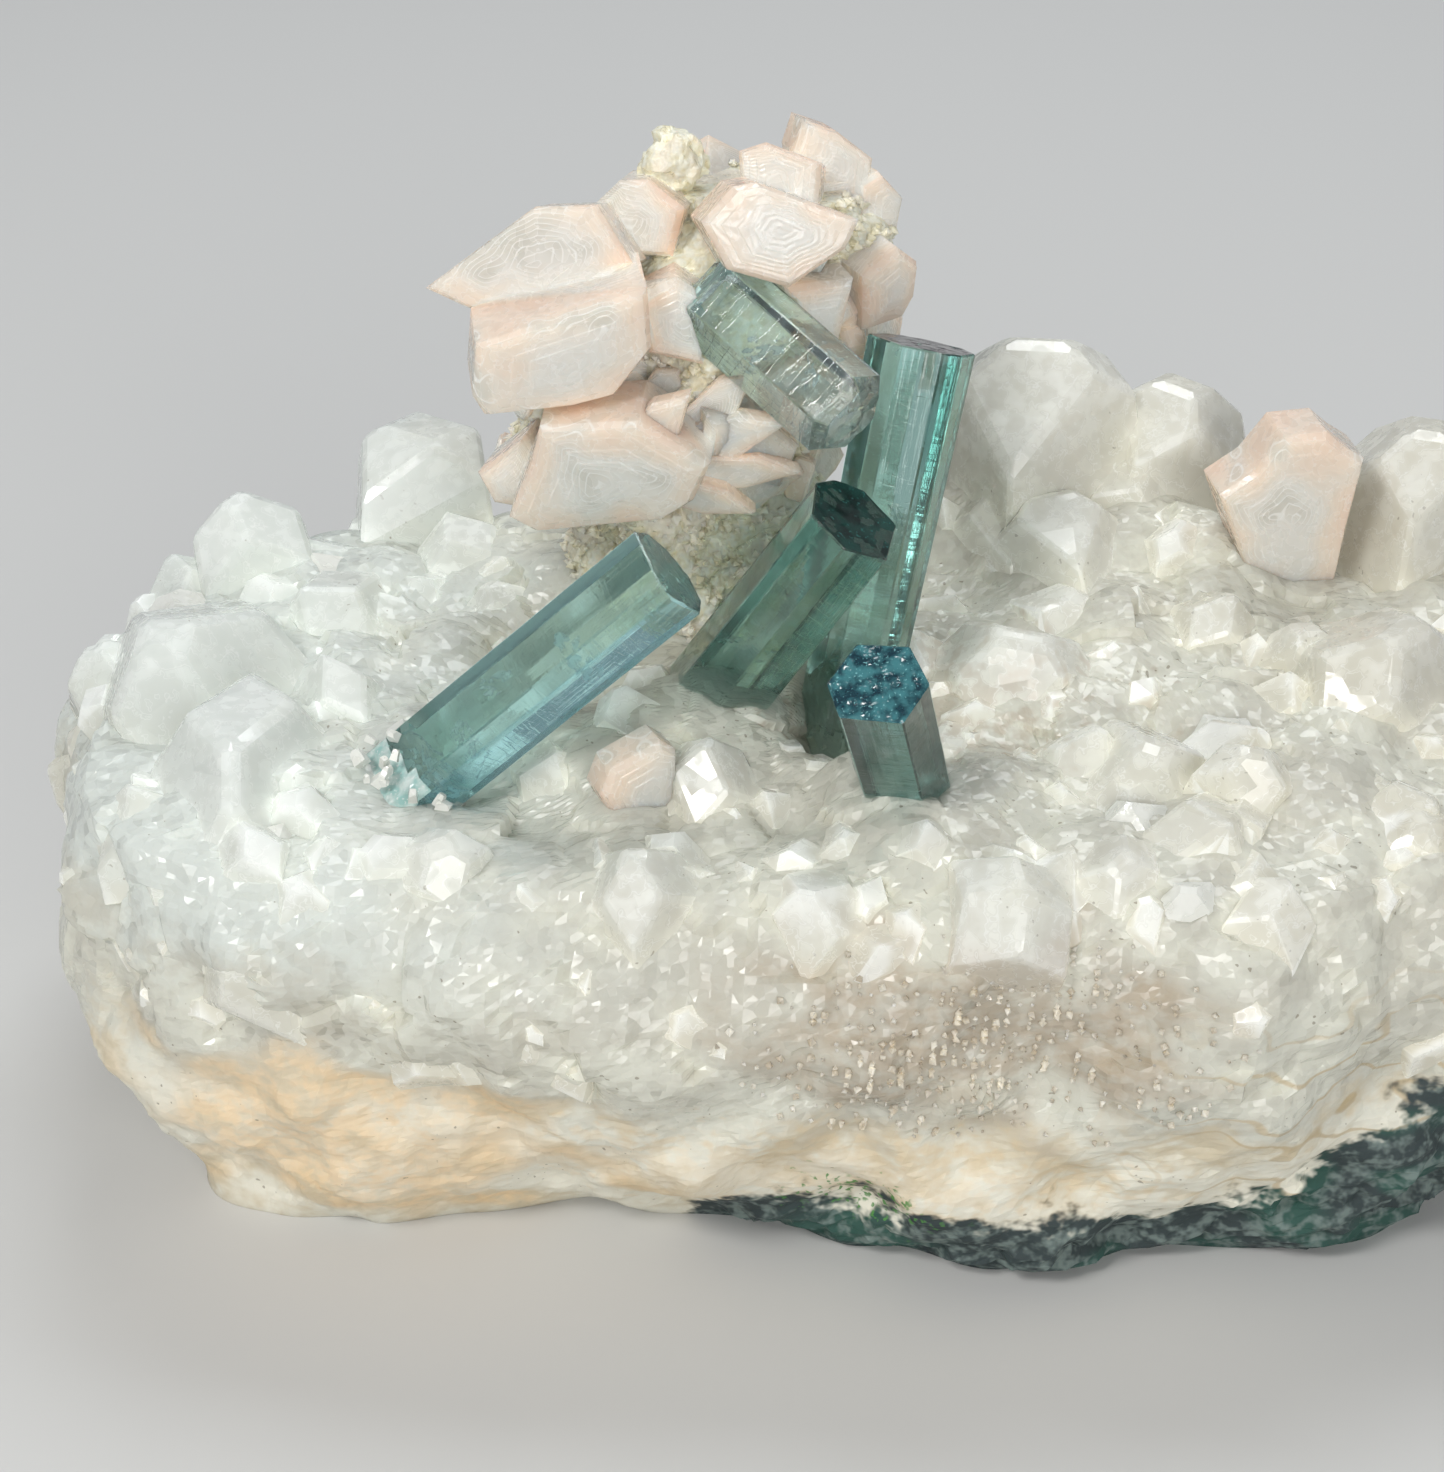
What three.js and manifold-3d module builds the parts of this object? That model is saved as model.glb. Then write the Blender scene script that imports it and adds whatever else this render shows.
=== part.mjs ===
// Aquamarine on feldspar: five hexagonal blue-green crystals and a sheaf of peach blades, standing in a crust of
// blocky milky crystals on a slab of pale matrix rock. Millimetres, +Z up. The origin is on the surface that the
// slab rests on, under the middle of its belly, and the show side faces -Y.
import * as THREE from "three";
import { mergeVertices } from "three/addons/utils/BufferGeometryUtils.js";
import Module from "manifold-3d";

const wasm = await Module();
wasm.setup();

// The slab's outlines in plan: where it rests, at its widest and at the edge of its crown. All three have their
// points in the same order, from the middle of the right end round the back, the left end and the show side.
const FOOT = [
  [50, 2], [46, 17], [33, 23], [14, 25.5], [-6, 25], [-26, 23], [-41, 17.5], [-46, 8],
  [-48, -5], [-47.5, -20.5], [-38, -22.6], [-22, -20.2], [-9, -22.5], [6, -26.6], [26, -25.6], [43.5, -20],
];
const BELLY = [
  [61, 2], [57.4, 20], [40, 30.8], [18, 32.8], [-8, 32.6], [-32, 31.2], [-51, 24.6], [-59, 10],
  [-58.4, -6], [-51.5, -21], [-38, -28.6], [-20, -31], [-2, -32.5], [16, -33.5], [36, -31], [54, -21],
];
const RIM = [
  [57.4, 3], [53.4, 19.6], [38, 29], [18, 31], [-8, 31], [-32, 29.4], [-49, 22.8], [-56.6, 10],
  [-57, -4], [-51, -18], [-37, -24.5], [-20, -27], [-2, -28.5], [16, -29], [35, -27], [51, -18],
];
const CROWN_MIDDLE = new THREE.Vector2(1, 1);
const RIM_HEIGHT = 32;
const BELLY_LEVEL = 0.75;
const CROWN_HEIGHT = 35;
const CROWN_SLOPE = 0.08;
const SHOULDER_WIDTH = 0.28;
const SLAB_SIDES = 52;
const SLAB_LEVELS = [0, 0.1, 0.24, 0.4, 0.56, 0.72, 0.87, 1, 1.13, 1.3, 1.52, 1.76];

// Rises and hollows of the crown: where each is, how far it rises and how wide it is.
const MOUNDS = [
  { name: "back right hill", x: 24, y: 24, rise: 4.5, spread: 13 },
  { name: "seat of the sheaf", x: -11, y: 9, rise: 2, spread: 9 },
  { name: "seat of the thick crystal", x: -10, y: -5, rise: 2.6, spread: 4.5 },
  { name: "hollow of the tall crystal", x: 0.5, y: -7, rise: -4.5, spread: 4.5 },
  { name: "right swell", x: 40, y: -4, rise: 1.5, spread: 12 },
  { name: "left swell", x: -46, y: 2, rise: -1, spread: 10 },
];

// Swells of the rock surface: wave length, height and which family of directions it uses.
const BROAD_SWELL = { length: 21, height: 0.9, family: 3 };
const FINE_SWELL = { length: 9, height: 0.5, family: 11 };
const SWELL_WAVES = 7;
const GOLDEN_ANGLE = Math.PI * (3 - Math.sqrt(5));

// Where the show side looks: the facets of the blue crystals are set out from this direction.
const SHOW_TILT = THREE.MathUtils.degToRad(30);
const SHOW_SIDE = new THREE.Vector3(0, -Math.cos(SHOW_TILT), Math.sin(SHOW_TILT));
const Z_AXIS = new THREE.Vector3(0, 0, 1);

const GAP = 0.3; // clearance round a piece that sits in a socket
const SMALLEST_DETAIL = 0.12; // what is smaller is smoothed away where solids join

// The blue crystals. corners are degrees round the crystal, 270 on the show side; stations are distances along it
// with the radius there.
const AQUAMARINES = [
  {
    name: "aquamarine_lying",
    from: [-35.5, -14.9, 30],
    to: [-12.7, -13.7, 50],
    corners: [277, 298, 360, 395, 435, 475, 510, 540],
    radius: 3.65,
    taper: 0.98,
    startBevel: 0,
    endBevel: 0.12,
  },
  {
    name: "aquamarine_upper",
    from: [-9.9, 3.1, 63.9],
    to: [0.1, -6.4, 58.2],
    corners: [0, 60, 120, 180, 239, 306],
    radius: 3.65,
    taper: 1,
    startBevel: 0.55,
    endBevel: 0.8,
  },
  {
    name: "aquamarine_tall",
    from: [-1.3, -6.1, 25],
    to: [5.5, 3.6, 59.8],
    corners: [0, 40, 85, 130, 180, 247, 292, 317],
    radius: 4,
    taper: 0.86,
    startBevel: 0,
    endBevel: 0.1,
  },
  {
    name: "aquamarine_thick",
    from: [-10.9, -4.2, 33],
    to: [0.3, -9.5, 52],
    corners: [48, 103, 141, 170, 230, 281, 339],
    radius: 3.8,
    taper: 1.06,
    startBevel: 0,
    endBevel: 0.1,
  },
  {
    name: "aquamarine_stub",
    from: [5.1, -13, 29],
    to: [1.3, -24.9, 47.4],
    corners: [32, 95, 155, 202, 279, 336],
    radius: 3.45,
    taper: 0.93,
    startBevel: 0,
    endBevel: 0.18,
  },
];

// Great crystals of the crust: a point inside the base, the half width, the height above that point, the way the
// crystal leans, its turn and how blunt its tip is.
const GREAT_CRYSTALS = [
  { at: [-49.5, 2.5, 31], width: 7.6, height: 9.6, lean: [-0.25, -0.4, 0.9], turn: 20, blunt: 0.62 },
  { at: [-43, -15.5, 28.5], width: 7.2, height: 8.6, lean: [-0.12, -0.55, 0.82], turn: 55, blunt: 0.66 },
  { at: [-46, 17, 31], width: 5.8, height: 11, lean: [-0.12, -0.05, 1], turn: 10, blunt: 0.72 },
  { at: [-40.5, 23, 34], width: 4.8, height: 8.6, lean: [0.1, 0, 1], turn: 38, blunt: 0.9 },
  { at: [-52.5, 17, 30.5], width: 3.4, height: 7.5, lean: [-0.1, 0, 1], turn: 0, blunt: 0.97 },
  { at: [-55.5, 12, 28], width: 4.6, height: 7, lean: [-0.75, 0.1, 0.65], turn: 15, blunt: 0.6 },
  { at: [-54.8, 4, 24.5], width: 4.8, height: 6, lean: [-0.9, -0.1, 0.4], turn: 40, blunt: 0.66 },
  { at: [-54.4, -6.5, 20], width: 4.4, height: 4.8, lean: [-0.9, -0.3, 0.2], turn: 5, blunt: 0.7 },
  { at: [-33.5, 24.5, 34.5], width: 6, height: 9.8, lean: [0, 0.05, 1], turn: 8, blunt: 0.5 },
  { at: [16.5, 22.5, 39], width: 7.4, height: 13.2, lean: [-0.04, 0.05, 1], turn: 30, blunt: 0.58 },
  { at: [27.5, 23.5, 38.5], width: 5.8, height: 9.6, lean: [0.12, 0, 1], turn: 12, blunt: 0.6 },
  { at: [46.5, 18.5, 36], width: 6.6, height: 11, lean: [0.06, 0.05, 1], turn: 33, blunt: 0.6 },
  { at: [25.5, 7, 33], width: 4.8, height: 9.5, lean: [0.05, -0.15, 1], turn: 4, blunt: 0.7 },
  { at: [17, 12, 34], width: 5.8, height: 8.6, lean: [-0.1, -0.1, 1], turn: 22, blunt: 0.62 },
  { at: [12.5, -1, 32], width: 5.6, height: 7.8, lean: [0.1, -0.3, 1], turn: 41, blunt: 0.6 },
  { at: [-28, 14.5, 32], width: 5.4, height: 8, lean: [0.15, -0.1, 1], turn: 29, blunt: 0.66 },
  { at: [-34.5, 3.5, 32], width: 4, height: 7.6, lean: [0.2, -0.3, 1], turn: 47, blunt: 0.85 },
  { at: [-23, -1, 32], width: 5, height: 6.4, lean: [-0.15, -0.2, 1], turn: 17, blunt: 0.7 },
  { at: [20.5, -12.5, 30], width: 5.8, height: 7.2, lean: [0.05, -0.4, 0.95], turn: 26, blunt: 0.62 },
  { at: [29.5, -7, 31], width: 6, height: 7.8, lean: [0.1, -0.25, 1], turn: 51, blunt: 0.62 },
  { at: [39.5, -3, 32], width: 6.8, height: 8.8, lean: [0.2, -0.2, 1], turn: 13, blunt: 0.6 },
  { at: [38.5, -17, 28], width: 6, height: 8, lean: [0.15, -0.55, 0.85], turn: 36, blunt: 0.66 },
  { at: [29, -22.5, 25.5], width: 5.4, height: 7.2, lean: [0.05, -0.8, 0.6], turn: 9, blunt: 0.66 },
  { at: [-4, -22, 27], width: 4.6, height: 6.8, lean: [0.1, -0.75, 0.7], turn: 31, blunt: 0.75 },
  { at: [-11.5, -13.5, 30.5], width: 4.2, height: 5.8, lean: [-0.1, -0.35, 0.95], turn: 44, blunt: 0.75 },
  { at: [-21, -19.5, 27.5], width: 5.4, height: 6.6, lean: [0.05, -0.5, 0.85], turn: 2, blunt: 0.66 },
  { at: [-32, -20.5, 26.5], width: 5, height: 6.6, lean: [-0.1, -0.6, 0.8], turn: 24, blunt: 0.7 },
  { at: [12, -22, 27], width: 5, height: 6.6, lean: [0, -0.6, 0.8], turn: 39, blunt: 0.66 },
  { at: [53.4, 6, 28], width: 6.2, height: 8.4, lean: [0.75, 0.05, 0.7], turn: 18, blunt: 0.62 },
  { at: [50, -13, 26], width: 5.8, height: 8, lean: [0.7, -0.45, 0.6], turn: 42, blunt: 0.66 },
  { at: [-8, 25, 33.5], width: 5.6, height: 8, lean: [0, 0.35, 0.95], turn: 21, blunt: 0.6 },
  { at: [4, 23, 34], width: 4.8, height: 8, lean: [0.05, 0.1, 1], turn: 49, blunt: 0.75 },
  { at: [36.5, 13, 34], width: 4, height: 6, lean: [0.1, 0, 1], turn: 27, blunt: 0.7 },
];

// Lesser crystals, spread evenly over the crown and in a belt round its flank.
const CROWN_CRYSTALS = 90;
const FLANK_CRYSTALS = 25;
const FLANK_LEVELS = [0.72, 1.02];
const LESSER_WIDTH = [2.8, 4.5];
const LESSER_STANDOFF = 1; // how near a lesser crystal may stand to the edge of what is planted in the crust

// The core of the sheaf: its rings from the bottom up, each with a centre, half sizes and height.
const SHEAF_RINGS = [
  { z: 31, x: -11.5, y: 11, wide: 10.4, deep: 9 },
  { z: 37, x: -11.5, y: 11, wide: 9.6, deep: 8.2 },
  { z: 43, x: -11.5, y: 10.5, wide: 9.4, deep: 7.6 },
  { z: 49, x: -12.5, y: 10, wide: 10.8, deep: 7.6 },
  { z: 55, x: -12, y: 9.5, wide: 12, deep: 8.2 },
  { z: 61, x: -10, y: 9.5, wide: 12, deep: 8 },
  { z: 66, x: -7, y: 10, wide: 9.6, deep: 7 },
  { z: 69.5, x: -6.5, y: 10.5, wide: 6.6, deep: 4.8 },
];
const SHEAF_SIDES = 18;
const KNOB = { at: [-12.6, 9.5, 69.2], radius: 2.5, height: 4 };

// The blades: where each is centred, its outline seen from the show side (right, up), its thickness, and how far
// it is swung about its upright and tipped back, in degrees.
const BLADES = [
  {
    at: [-21.3, 4, 66.3],
    outline: [[-8.6, -2.8], [-0.7, 3.6], [3.8, 4.1], [6.6, 0.3], [0.7, -4.9], [-5.4, -3.9]],
    thick: 5,
    swing: -14,
    tip: -16,
  },
  {
    at: [-20.5, -0.5, 61.4],
    outline: [[-6.5, -2.2], [-6.1, 1.9], [5.9, 5.6], [6.2, 0.9], [3.6, -2.6], [0.6, -3.3], [-5.7, -3.7]],
    thick: 6.5,
    swing: 8,
    tip: 6,
  },
  {
    at: [-17.1, -0.8, 52.8],
    outline: [
      [-7.3, -3.9], [-5.3, 1.2], [-4.5, 4.4], [2.6, 5.2], [7.6, 1.7], [6.3, -1.6], [4.2, -3.3], [-5.5, -5],
    ],
    thick: 6,
    swing: -6,
    tip: 12,
  },
  {
    at: [-24, 4, 49.8],
    outline: [[-2.6, 0.3], [0.8, 3.2], [2.6, 0.5], [1.6, -2.2], [-1.4, -2]],
    thick: 5.4,
    swing: -14,
    tip: 0,
  },
  {
    at: [-8, 1.6, 53.4],
    outline: [[-3.3, -0.7], [-3.2, 3.8], [0.7, 3.4], [4.2, 0], [3.2, -3.6], [-0.4, -3]],
    thick: 5,
    swing: 18,
    tip: 14,
  },
  {
    at: [-14.6, 8, 68.2],
    outline: [[-3.6, 0.4], [-1.4, 2.6], [0.6, 2.8], [3.4, 0.9], [2.6, -2.6], [-2.2, -2.6]],
    thick: 6,
    swing: -10,
    tip: -10,
  },
  {
    at: [-5.2, 2.8, 68.9],
    outline: [[-5.7, 1], [-3.4, 3.3], [-1.7, 3.5], [5.5, 0.5], [4.5, -1.4], [0.3, -3.9], [-4, -2.4]],
    thick: 6,
    swing: 10,
    tip: -14,
  },
  {
    at: [-4.6, 7.5, 71.2],
    outline: [[-3.1, 1.4], [-1.2, 2.1], [2.9, 0.8], [2.7, -3.6], [-2.6, -3.4]],
    thick: 4.2,
    swing: -8,
    tip: -24,
  },
  {
    at: [-1.4, 11.6, 71.6],
    outline: [[-2.9, 0.6], [-2.1, 2.7], [0.2, 1.8], [3, -0.5], [2.2, -4.6], [-2.2, -4.6]],
    thick: 4.4,
    swing: 14,
    tip: -8,
  },
  {
    at: [2.2, 12.6, 68],
    outline: [[-2.5, 1.8], [-0.9, 2.5], [1.1, 0.3], [0.5, -2.8], [-2.8, -2.6]],
    thick: 5,
    swing: 28,
    tip: 0,
  },
  {
    at: [1.8, 8.6, 63.6],
    outline: [[-2.8, 1.4], [0.1, 3.1], [2.1, 1.5], [2.1, -1.2], [1.2, -2.9], [-2.2, -3.2]],
    thick: 6.4,
    swing: 34,
    tip: 8,
  },
  {
    at: [-2.6, 3.6, 62.6],
    outline: [[-2.8, 2.8], [2.6, 2.6], [1.6, -3], [-1.7, -2.9]],
    thick: 3.6,
    swing: 22,
    tip: 6,
  },
  {
    at: [-12.4, 1.8, 62.8],
    outline: [[-2.8, 2], [0.1, 3.3], [3.1, 1.3], [1.9, -3.2], [-1.9, -2.2]],
    thick: 4.6,
    swing: 4,
    tip: -4,
  },
  {
    at: [-20, 16, 60],
    outline: [[-5, -2], [-2, 4], [4, 3], [4.5, -3], [-1, -4.5]],
    thick: 6,
    swing: -58,
    tip: 0,
  },
  {
    at: [-14, 18, 54],
    outline: [[-5, -3], [-4, 3], [2, 5], [5, 0], [2, -4]],
    thick: 5.5,
    swing: -12,
    tip: 10,
  },
  {
    at: [-4, 17, 58],
    outline: [[-4.5, -4], [-4, 3], [0, 5.5], [4.5, 2], [3.5, -4]],
    thick: 5.5,
    swing: 24,
    tip: -8,
  },
  {
    at: [-10, 16, 66],
    outline: [[-4, -3], [-4.5, 2], [0, 5], [4, 2.5], [3.5, -3]],
    thick: 5,
    swing: -6,
    tip: 22,
  },
  {
    at: [1, 14, 56],
    outline: [[-3, -3], [-3, 3.5], [1, 5], [4, 1], [2.5, -3.5]],
    thick: 5,
    swing: 62,
    tip: 0,
  },
  {
    at: [-19, 15, 46],
    outline: [[-3.5, -3], [-3.5, 3], [1, 4], [3.5, 0], [2, -3.5]],
    thick: 5,
    swing: -46,
    tip: -6,
  },
  {
    at: [-4.5, 16.5, 46],
    outline: [[-3.5, -2.5], [-2.5, 3.5], [2, 3.5], [3.5, -1], [0, -3.5]],
    thick: 5,
    swing: 38,
    tip: 4,
  },
];
const BLADE_BEVEL = 0.9;

// Two peach blades that stand in the crust by themselves.
const LONE_BLADES = [
  {
    name: "peach_blade_right",
    at: [34.2, 12.5, 42.2],
    outline: [
      [-5.4, 3], [-2.8, 4.8], [-0.8, 7.7], [2.6, 7.8], [4.2, 6.4], [6, 5.2], [5.4, -0.5], [5, -6.5], [1.6, -8.6],
      [-1.4, -6.4],
    ],
    thick: 5,
    swing: 10,
    tip: 4,
  },
  {
    name: "peach_blade_front",
    at: [-15.2, -16.4, 34.6],
    outline: [[-3.2, 0.6], [-2.4, 2.6], [1.4, 3.9], [2.6, 2.9], [2.8, -3.4], [0.8, -5], [-1.6, -3.2]],
    thick: 3.4,
    swing: 26,
    tip: 2,
  },
];

const COLOURS = {
  crust: new THREE.Color(0.83, 0.83, 0.79),
  sheaf: new THREE.Color(0.87, 0.79, 0.7),
  peach: new THREE.Color(0.88, 0.76, 0.66),
  aquamarine: new THREE.Color(0.33, 0.55, 0.51),
};

// A repeatable fraction from 0 to 1 for a whole-number key and a channel.
function fraction(key, channel) {
  const wave = Math.sin(key * 12.9898 + channel * 78.233) * 43758.5453;
  return wave - Math.floor(wave);
}

// A repeatable value between two limits.
function between([low, high], key, channel) {
  return low + (high - low) * fraction(key, channel);
}

// The height of a swell at a point: sine waves of about one length that cross in spread-out directions.
function swell({ length, height, family }, point) {
  let sum = 0;
  for (let k = 0; k < SWELL_WAVES; k += 1) {
    const rise = 1 - (2 * k + 1) / SWELL_WAVES;
    const flat = Math.sqrt(1 - rise * rise);
    const heading = GOLDEN_ANGLE * (k + family);
    const along = point.x * flat * Math.cos(heading) + point.y * flat * Math.sin(heading) + point.z * rise;
    sum += Math.sin((2 * Math.PI * along) / (length * (0.8 + 0.4 * fraction(k, family))) + k * family);
  }
  return (height * sum) / Math.sqrt(SWELL_WAVES / 2);
}

// A solid from rings of the same number of points, from bottom to top, closed by a fan at each end.
function ringSolid(rings) {
  const sides = rings[0].length;
  const points = rings.flat();
  const middle = (ring) => ring.reduce((sum, p) => sum.add(p), new THREE.Vector3()).divideScalar(sides);
  const bottom = points.push(middle(rings[0])) - 1;
  const top = points.push(middle(rings.at(-1))) - 1;
  const faces = [];
  const lastRow = (rings.length - 1) * sides;
  for (let i = 0; i < sides; i += 1) {
    const next = (i + 1) % sides;
    for (let row = 0; row < lastRow; row += sides) {
      faces.push(row + i, row + next, row + sides + i);
      faces.push(row + next, row + sides + next, row + sides + i);
    }
    faces.push(bottom, next, i);
    faces.push(top, lastRow + i, lastRow + next);
  }
  const geometry = new THREE.BufferGeometry().setFromPoints(points);
  geometry.setIndex(faces);
  return solid(geometry);
}

// A manifold solid from a closed geometry.
function solid(geometry) {
  const bare = geometry.clone();
  bare.deleteAttribute("normal");
  bare.deleteAttribute("uv");
  const merged = mergeVertices(bare, 1e-4);
  return new wasm.Manifold(
    new wasm.Mesh({
      numProp: 3,
      vertProperties: merged.getAttribute("position").array,
      triVerts: new Uint32Array(merged.index.array),
    }),
  );
}

// A named mesh from a solid. Crumbs that a cut left loose are dropped.
function mesh(name, body, colour, roughness) {
  const whole = body
    .simplify(SMALLEST_DETAIL)
    .decompose()
    .reduce((a, b) => (a.volume() > b.volume() ? a : b));
  const { vertProperties, triVerts } = whole.getMesh();
  const geometry = new THREE.BufferGeometry();
  geometry.setAttribute("position", new THREE.BufferAttribute(vertProperties, 3));
  geometry.setIndex(new THREE.BufferAttribute(triVerts, 1));
  const material = new THREE.MeshStandardMaterial({ color: colour, roughness, metalness: 0 });
  const made = new THREE.Mesh(geometry, material);
  made.name = name;
  return made;
}

// A frame whose Z runs along a direction, with its X to the right of it as seen from the show side.
function frameAlong(direction, origin, turn = 0) {
  const along = new THREE.Vector3(...direction).normalize();
  const across = along.clone().cross(SHOW_SIDE).normalize();
  const away = along.clone().cross(across);
  const frame = new THREE.Matrix4().makeBasis(across, away, along).setPosition(new THREE.Vector3(...origin));
  return frame.multiply(new THREE.Matrix4().makeRotationZ(THREE.MathUtils.degToRad(turn)));
}

// A smooth closed curve through the points of an outline.
function closedCurve(outline) {
  return new THREE.CatmullRomCurve3(outline.map(([x, y]) => new THREE.Vector3(x, y, 0)), true, "catmullrom", 0.5);
}

const FOOT_CURVE = closedCurve(FOOT);
const BELLY_CURVE = closedCurve(BELLY);
const RIM_CURVE = closedCurve(RIM);

// The height of the crown at a place in plan, before swells.
function crownHeight(x, y) {
  return MOUNDS.reduce(
    (height, mound) => {
      const near = Math.exp(-((x - mound.x) ** 2 + (y - mound.y) ** 2) / mound.spread ** 2);
      return height + mound.rise * near;
    },
    CROWN_HEIGHT + CROWN_SLOPE * y,
  );
}

// A point of the slab's surface. turn goes from 0 to 1 round it; level is 0 at the foot, 1 at the rim and 2 at the
// middle of the crown.
function slabPoint(turn, level) {
  const belly = BELLY_CURVE.getPoint(turn);
  const rim = RIM_CURVE.getPoint(turn);
  const middle = new THREE.Vector3(CROWN_MIDDLE.x, CROWN_MIDDLE.y, 0);
  let point = middle.clone().lerp(rim, Math.min(2 - level, 1));
  if (level <= BELLY_LEVEL) {
    point = FOOT_CURVE.getPoint(turn).lerp(belly, 1 - (1 - level / BELLY_LEVEL) ** 2);
  } else if (level < 1) {
    point = belly.lerp(rim, ((level - BELLY_LEVEL) / (1 - BELLY_LEVEL)) ** 2);
  }
  const outward = point.clone().sub(middle).normalize();
  const inward = Math.min(Math.max(level - 1, 0) / SHOULDER_WIDTH, 1);
  const crown = crownHeight(point.x, point.y);
  point.z = RIM_HEIGHT * Math.min(level, 1) + (crown - RIM_HEIGHT) * (1 - (1 - inward) ** 2);
  const bump = swell(BROAD_SWELL, point) + swell(FINE_SWELL, point);
  point.addScaledVector(outward, bump * (1 - inward));
  point.z += bump * inward;
  return point;
}

// The bare slab.
function slab() {
  return ringSolid(
    SLAB_LEVELS.map((level) =>
      Array.from({ length: SLAB_SIDES }, (_, i) => slabPoint(i / SLAB_SIDES, level)),
    ),
  );
}

// A blocky crystal: a square prism with four pyramid faces over its corners and a flat tip, every face at its own
// distance so that no two crystals are alike. key picks the irregularities.
function blockyCrystal({ at, width, height, lean, turn, blunt }, key) {
  const frame = frameAlong(lean, at, turn);
  const root = width;
  const block = new THREE.BoxGeometry(4 * width, 4 * width, height + root);
  block.translate(0, 0, (height - root) / 2);
  let crystal = solid(block.applyMatrix4(frame));
  const cut = (normal, distance) => {
    const n = normal.clone().normalize().transformDirection(frame);
    const origin = new THREE.Vector3().setFromMatrixPosition(frame);
    crystal = crystal.trimByPlane([-n.x, -n.y, -n.z], -(distance + n.dot(origin)));
  };
  const peak = height / (0.55 + 0.45 * blunt);
  for (let side = 0; side < 4; side += 1) {
    const flank = (side * Math.PI) / 2;
    cut(new THREE.Vector3(Math.cos(flank), Math.sin(flank), 0.1), width * between([0.84, 1.06], key, side));
    const corner = flank + Math.PI / 4;
    const slope = between([0.8, 1.25], key, side + 4);
    const facet = new THREE.Vector3(Math.cos(corner), Math.sin(corner), slope).normalize();
    cut(facet, facet.z * peak * between([0.86, 1.04], key, side + 8));
  }
  return crystal;
}

// A prism of the given corner angles along the line from start to end, with bevelled ends. grow makes it larger.
function hexagonalCrystal({ from, to, corners, radius, taper, startBevel, endBevel }, grow = 0) {
  const start = new THREE.Vector3(...from);
  const reach = new THREE.Vector3(...to).sub(start);
  const frame = frameAlong(reach.toArray(), from);
  const length = reach.length();
  const stations = [
    { along: -grow, size: radius * taper - startBevel },
    { along: startBevel - grow, size: radius * taper },
    { along: length - endBevel + grow, size: radius },
    { along: length + grow, size: radius - endBevel },
  ].slice(startBevel > 0 ? 0 : 1);
  return ringSolid(
    stations.map(({ along, size }) =>
      corners
        .toSorted((a, b) => a - b)
        .map((degrees) => {
          const corner = new THREE.Vector3(size + grow, 0, along);
          return corner.applyAxisAngle(Z_AXIS, THREE.MathUtils.degToRad(degrees)).applyMatrix4(frame);
        }),
    ),
  );
}

// A bevelled tablet of the given outline. grow makes it larger all round.
function tablet({ at, outline, thick, swing, tip }, grow = 0) {
  const frame = new THREE.Matrix4().makeRotationFromEuler(
    new THREE.Euler(THREE.MathUtils.degToRad(90 + tip), 0, THREE.MathUtils.degToRad(swing), "ZYX"),
  );
  frame.setPosition(new THREE.Vector3(...at));
  const reach = Math.max(...outline.map(([x, y]) => Math.hypot(x, y)));
  const half = thick / 2 + grow;
  const stations = [
    { depth: -half, scale: 1 - (BLADE_BEVEL * 1.4) / reach },
    { depth: -half + BLADE_BEVEL, scale: 1 },
    { depth: half - BLADE_BEVEL, scale: 1 },
    { depth: half, scale: 1 - BLADE_BEVEL / reach },
  ];
  const corners = THREE.ShapeUtils.isClockWise(outline.map(([x, y]) => new THREE.Vector2(x, y)))
    ? outline.toReversed()
    : outline;
  return ringSolid(
    stations.map(({ depth, scale }) =>
      corners.map(([x, y]) => {
        const spread = scale * (1 + grow / Math.hypot(x, y));
        return new THREE.Vector3(x * spread, y * spread, depth).applyMatrix4(frame);
      }),
    ),
  );
}

// The lumpy core of the sheaf.
function sheafCore(grow = 0) {
  return ringSolid(
    SHEAF_RINGS.map(({ z, x, y, wide, deep }, level) =>
      Array.from({ length: SHEAF_SIDES }, (_, i) => {
        const angle = (2 * Math.PI * i) / SHEAF_SIDES;
        const point = new THREE.Vector3(x + wide * Math.cos(angle), y + deep * Math.sin(angle), z);
        const bump = grow + swell(FINE_SWELL, point) * (level > 1 ? 1.6 : 0);
        point.x += bump * Math.cos(angle);
        point.y += bump * Math.sin(angle);
        point.z -= grow;
        return point;
      }),
    ),
  );
}

// The druse-covered knob at the top of the sheaf.
function sheafKnob() {
  const stretch = [1, 1.05, 0.9, 0.5];
  return ringSolid(
    stretch.map((width, level) =>
      Array.from({ length: 9 }, (_, i) => {
        const angle = (2 * Math.PI * i) / 9;
        const reach = KNOB.radius * width * between([0.86, 1.1], i, level);
        return new THREE.Vector3(
          KNOB.at[0] + reach * Math.cos(angle),
          KNOB.at[1] + reach * Math.sin(angle),
          KNOB.at[2] + (KNOB.height * level) / (stretch.length - 1),
        );
      }),
    ),
  );
}

// What is planted in the crust, as circles in plan: lesser crystals keep clear of them.
const PLANTED = [
  { x: SHEAF_RINGS[0].x, y: SHEAF_RINGS[0].y, radius: SHEAF_RINGS[0].wide },
  { x: -0.5, y: -5.5, radius: 4.5 },
  { x: -8.5, y: -5.5, radius: 4.6 },
  { x: 3.8, y: -16.5, radius: 5.4 },
  { x: -31, y: -14.8, radius: 5.5 },
  { x: LONE_BLADES[0].at[0], y: LONE_BLADES[0].at[1], radius: 5 },
  { x: LONE_BLADES[1].at[0], y: LONE_BLADES[1].at[1], radius: 3 },
];

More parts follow.
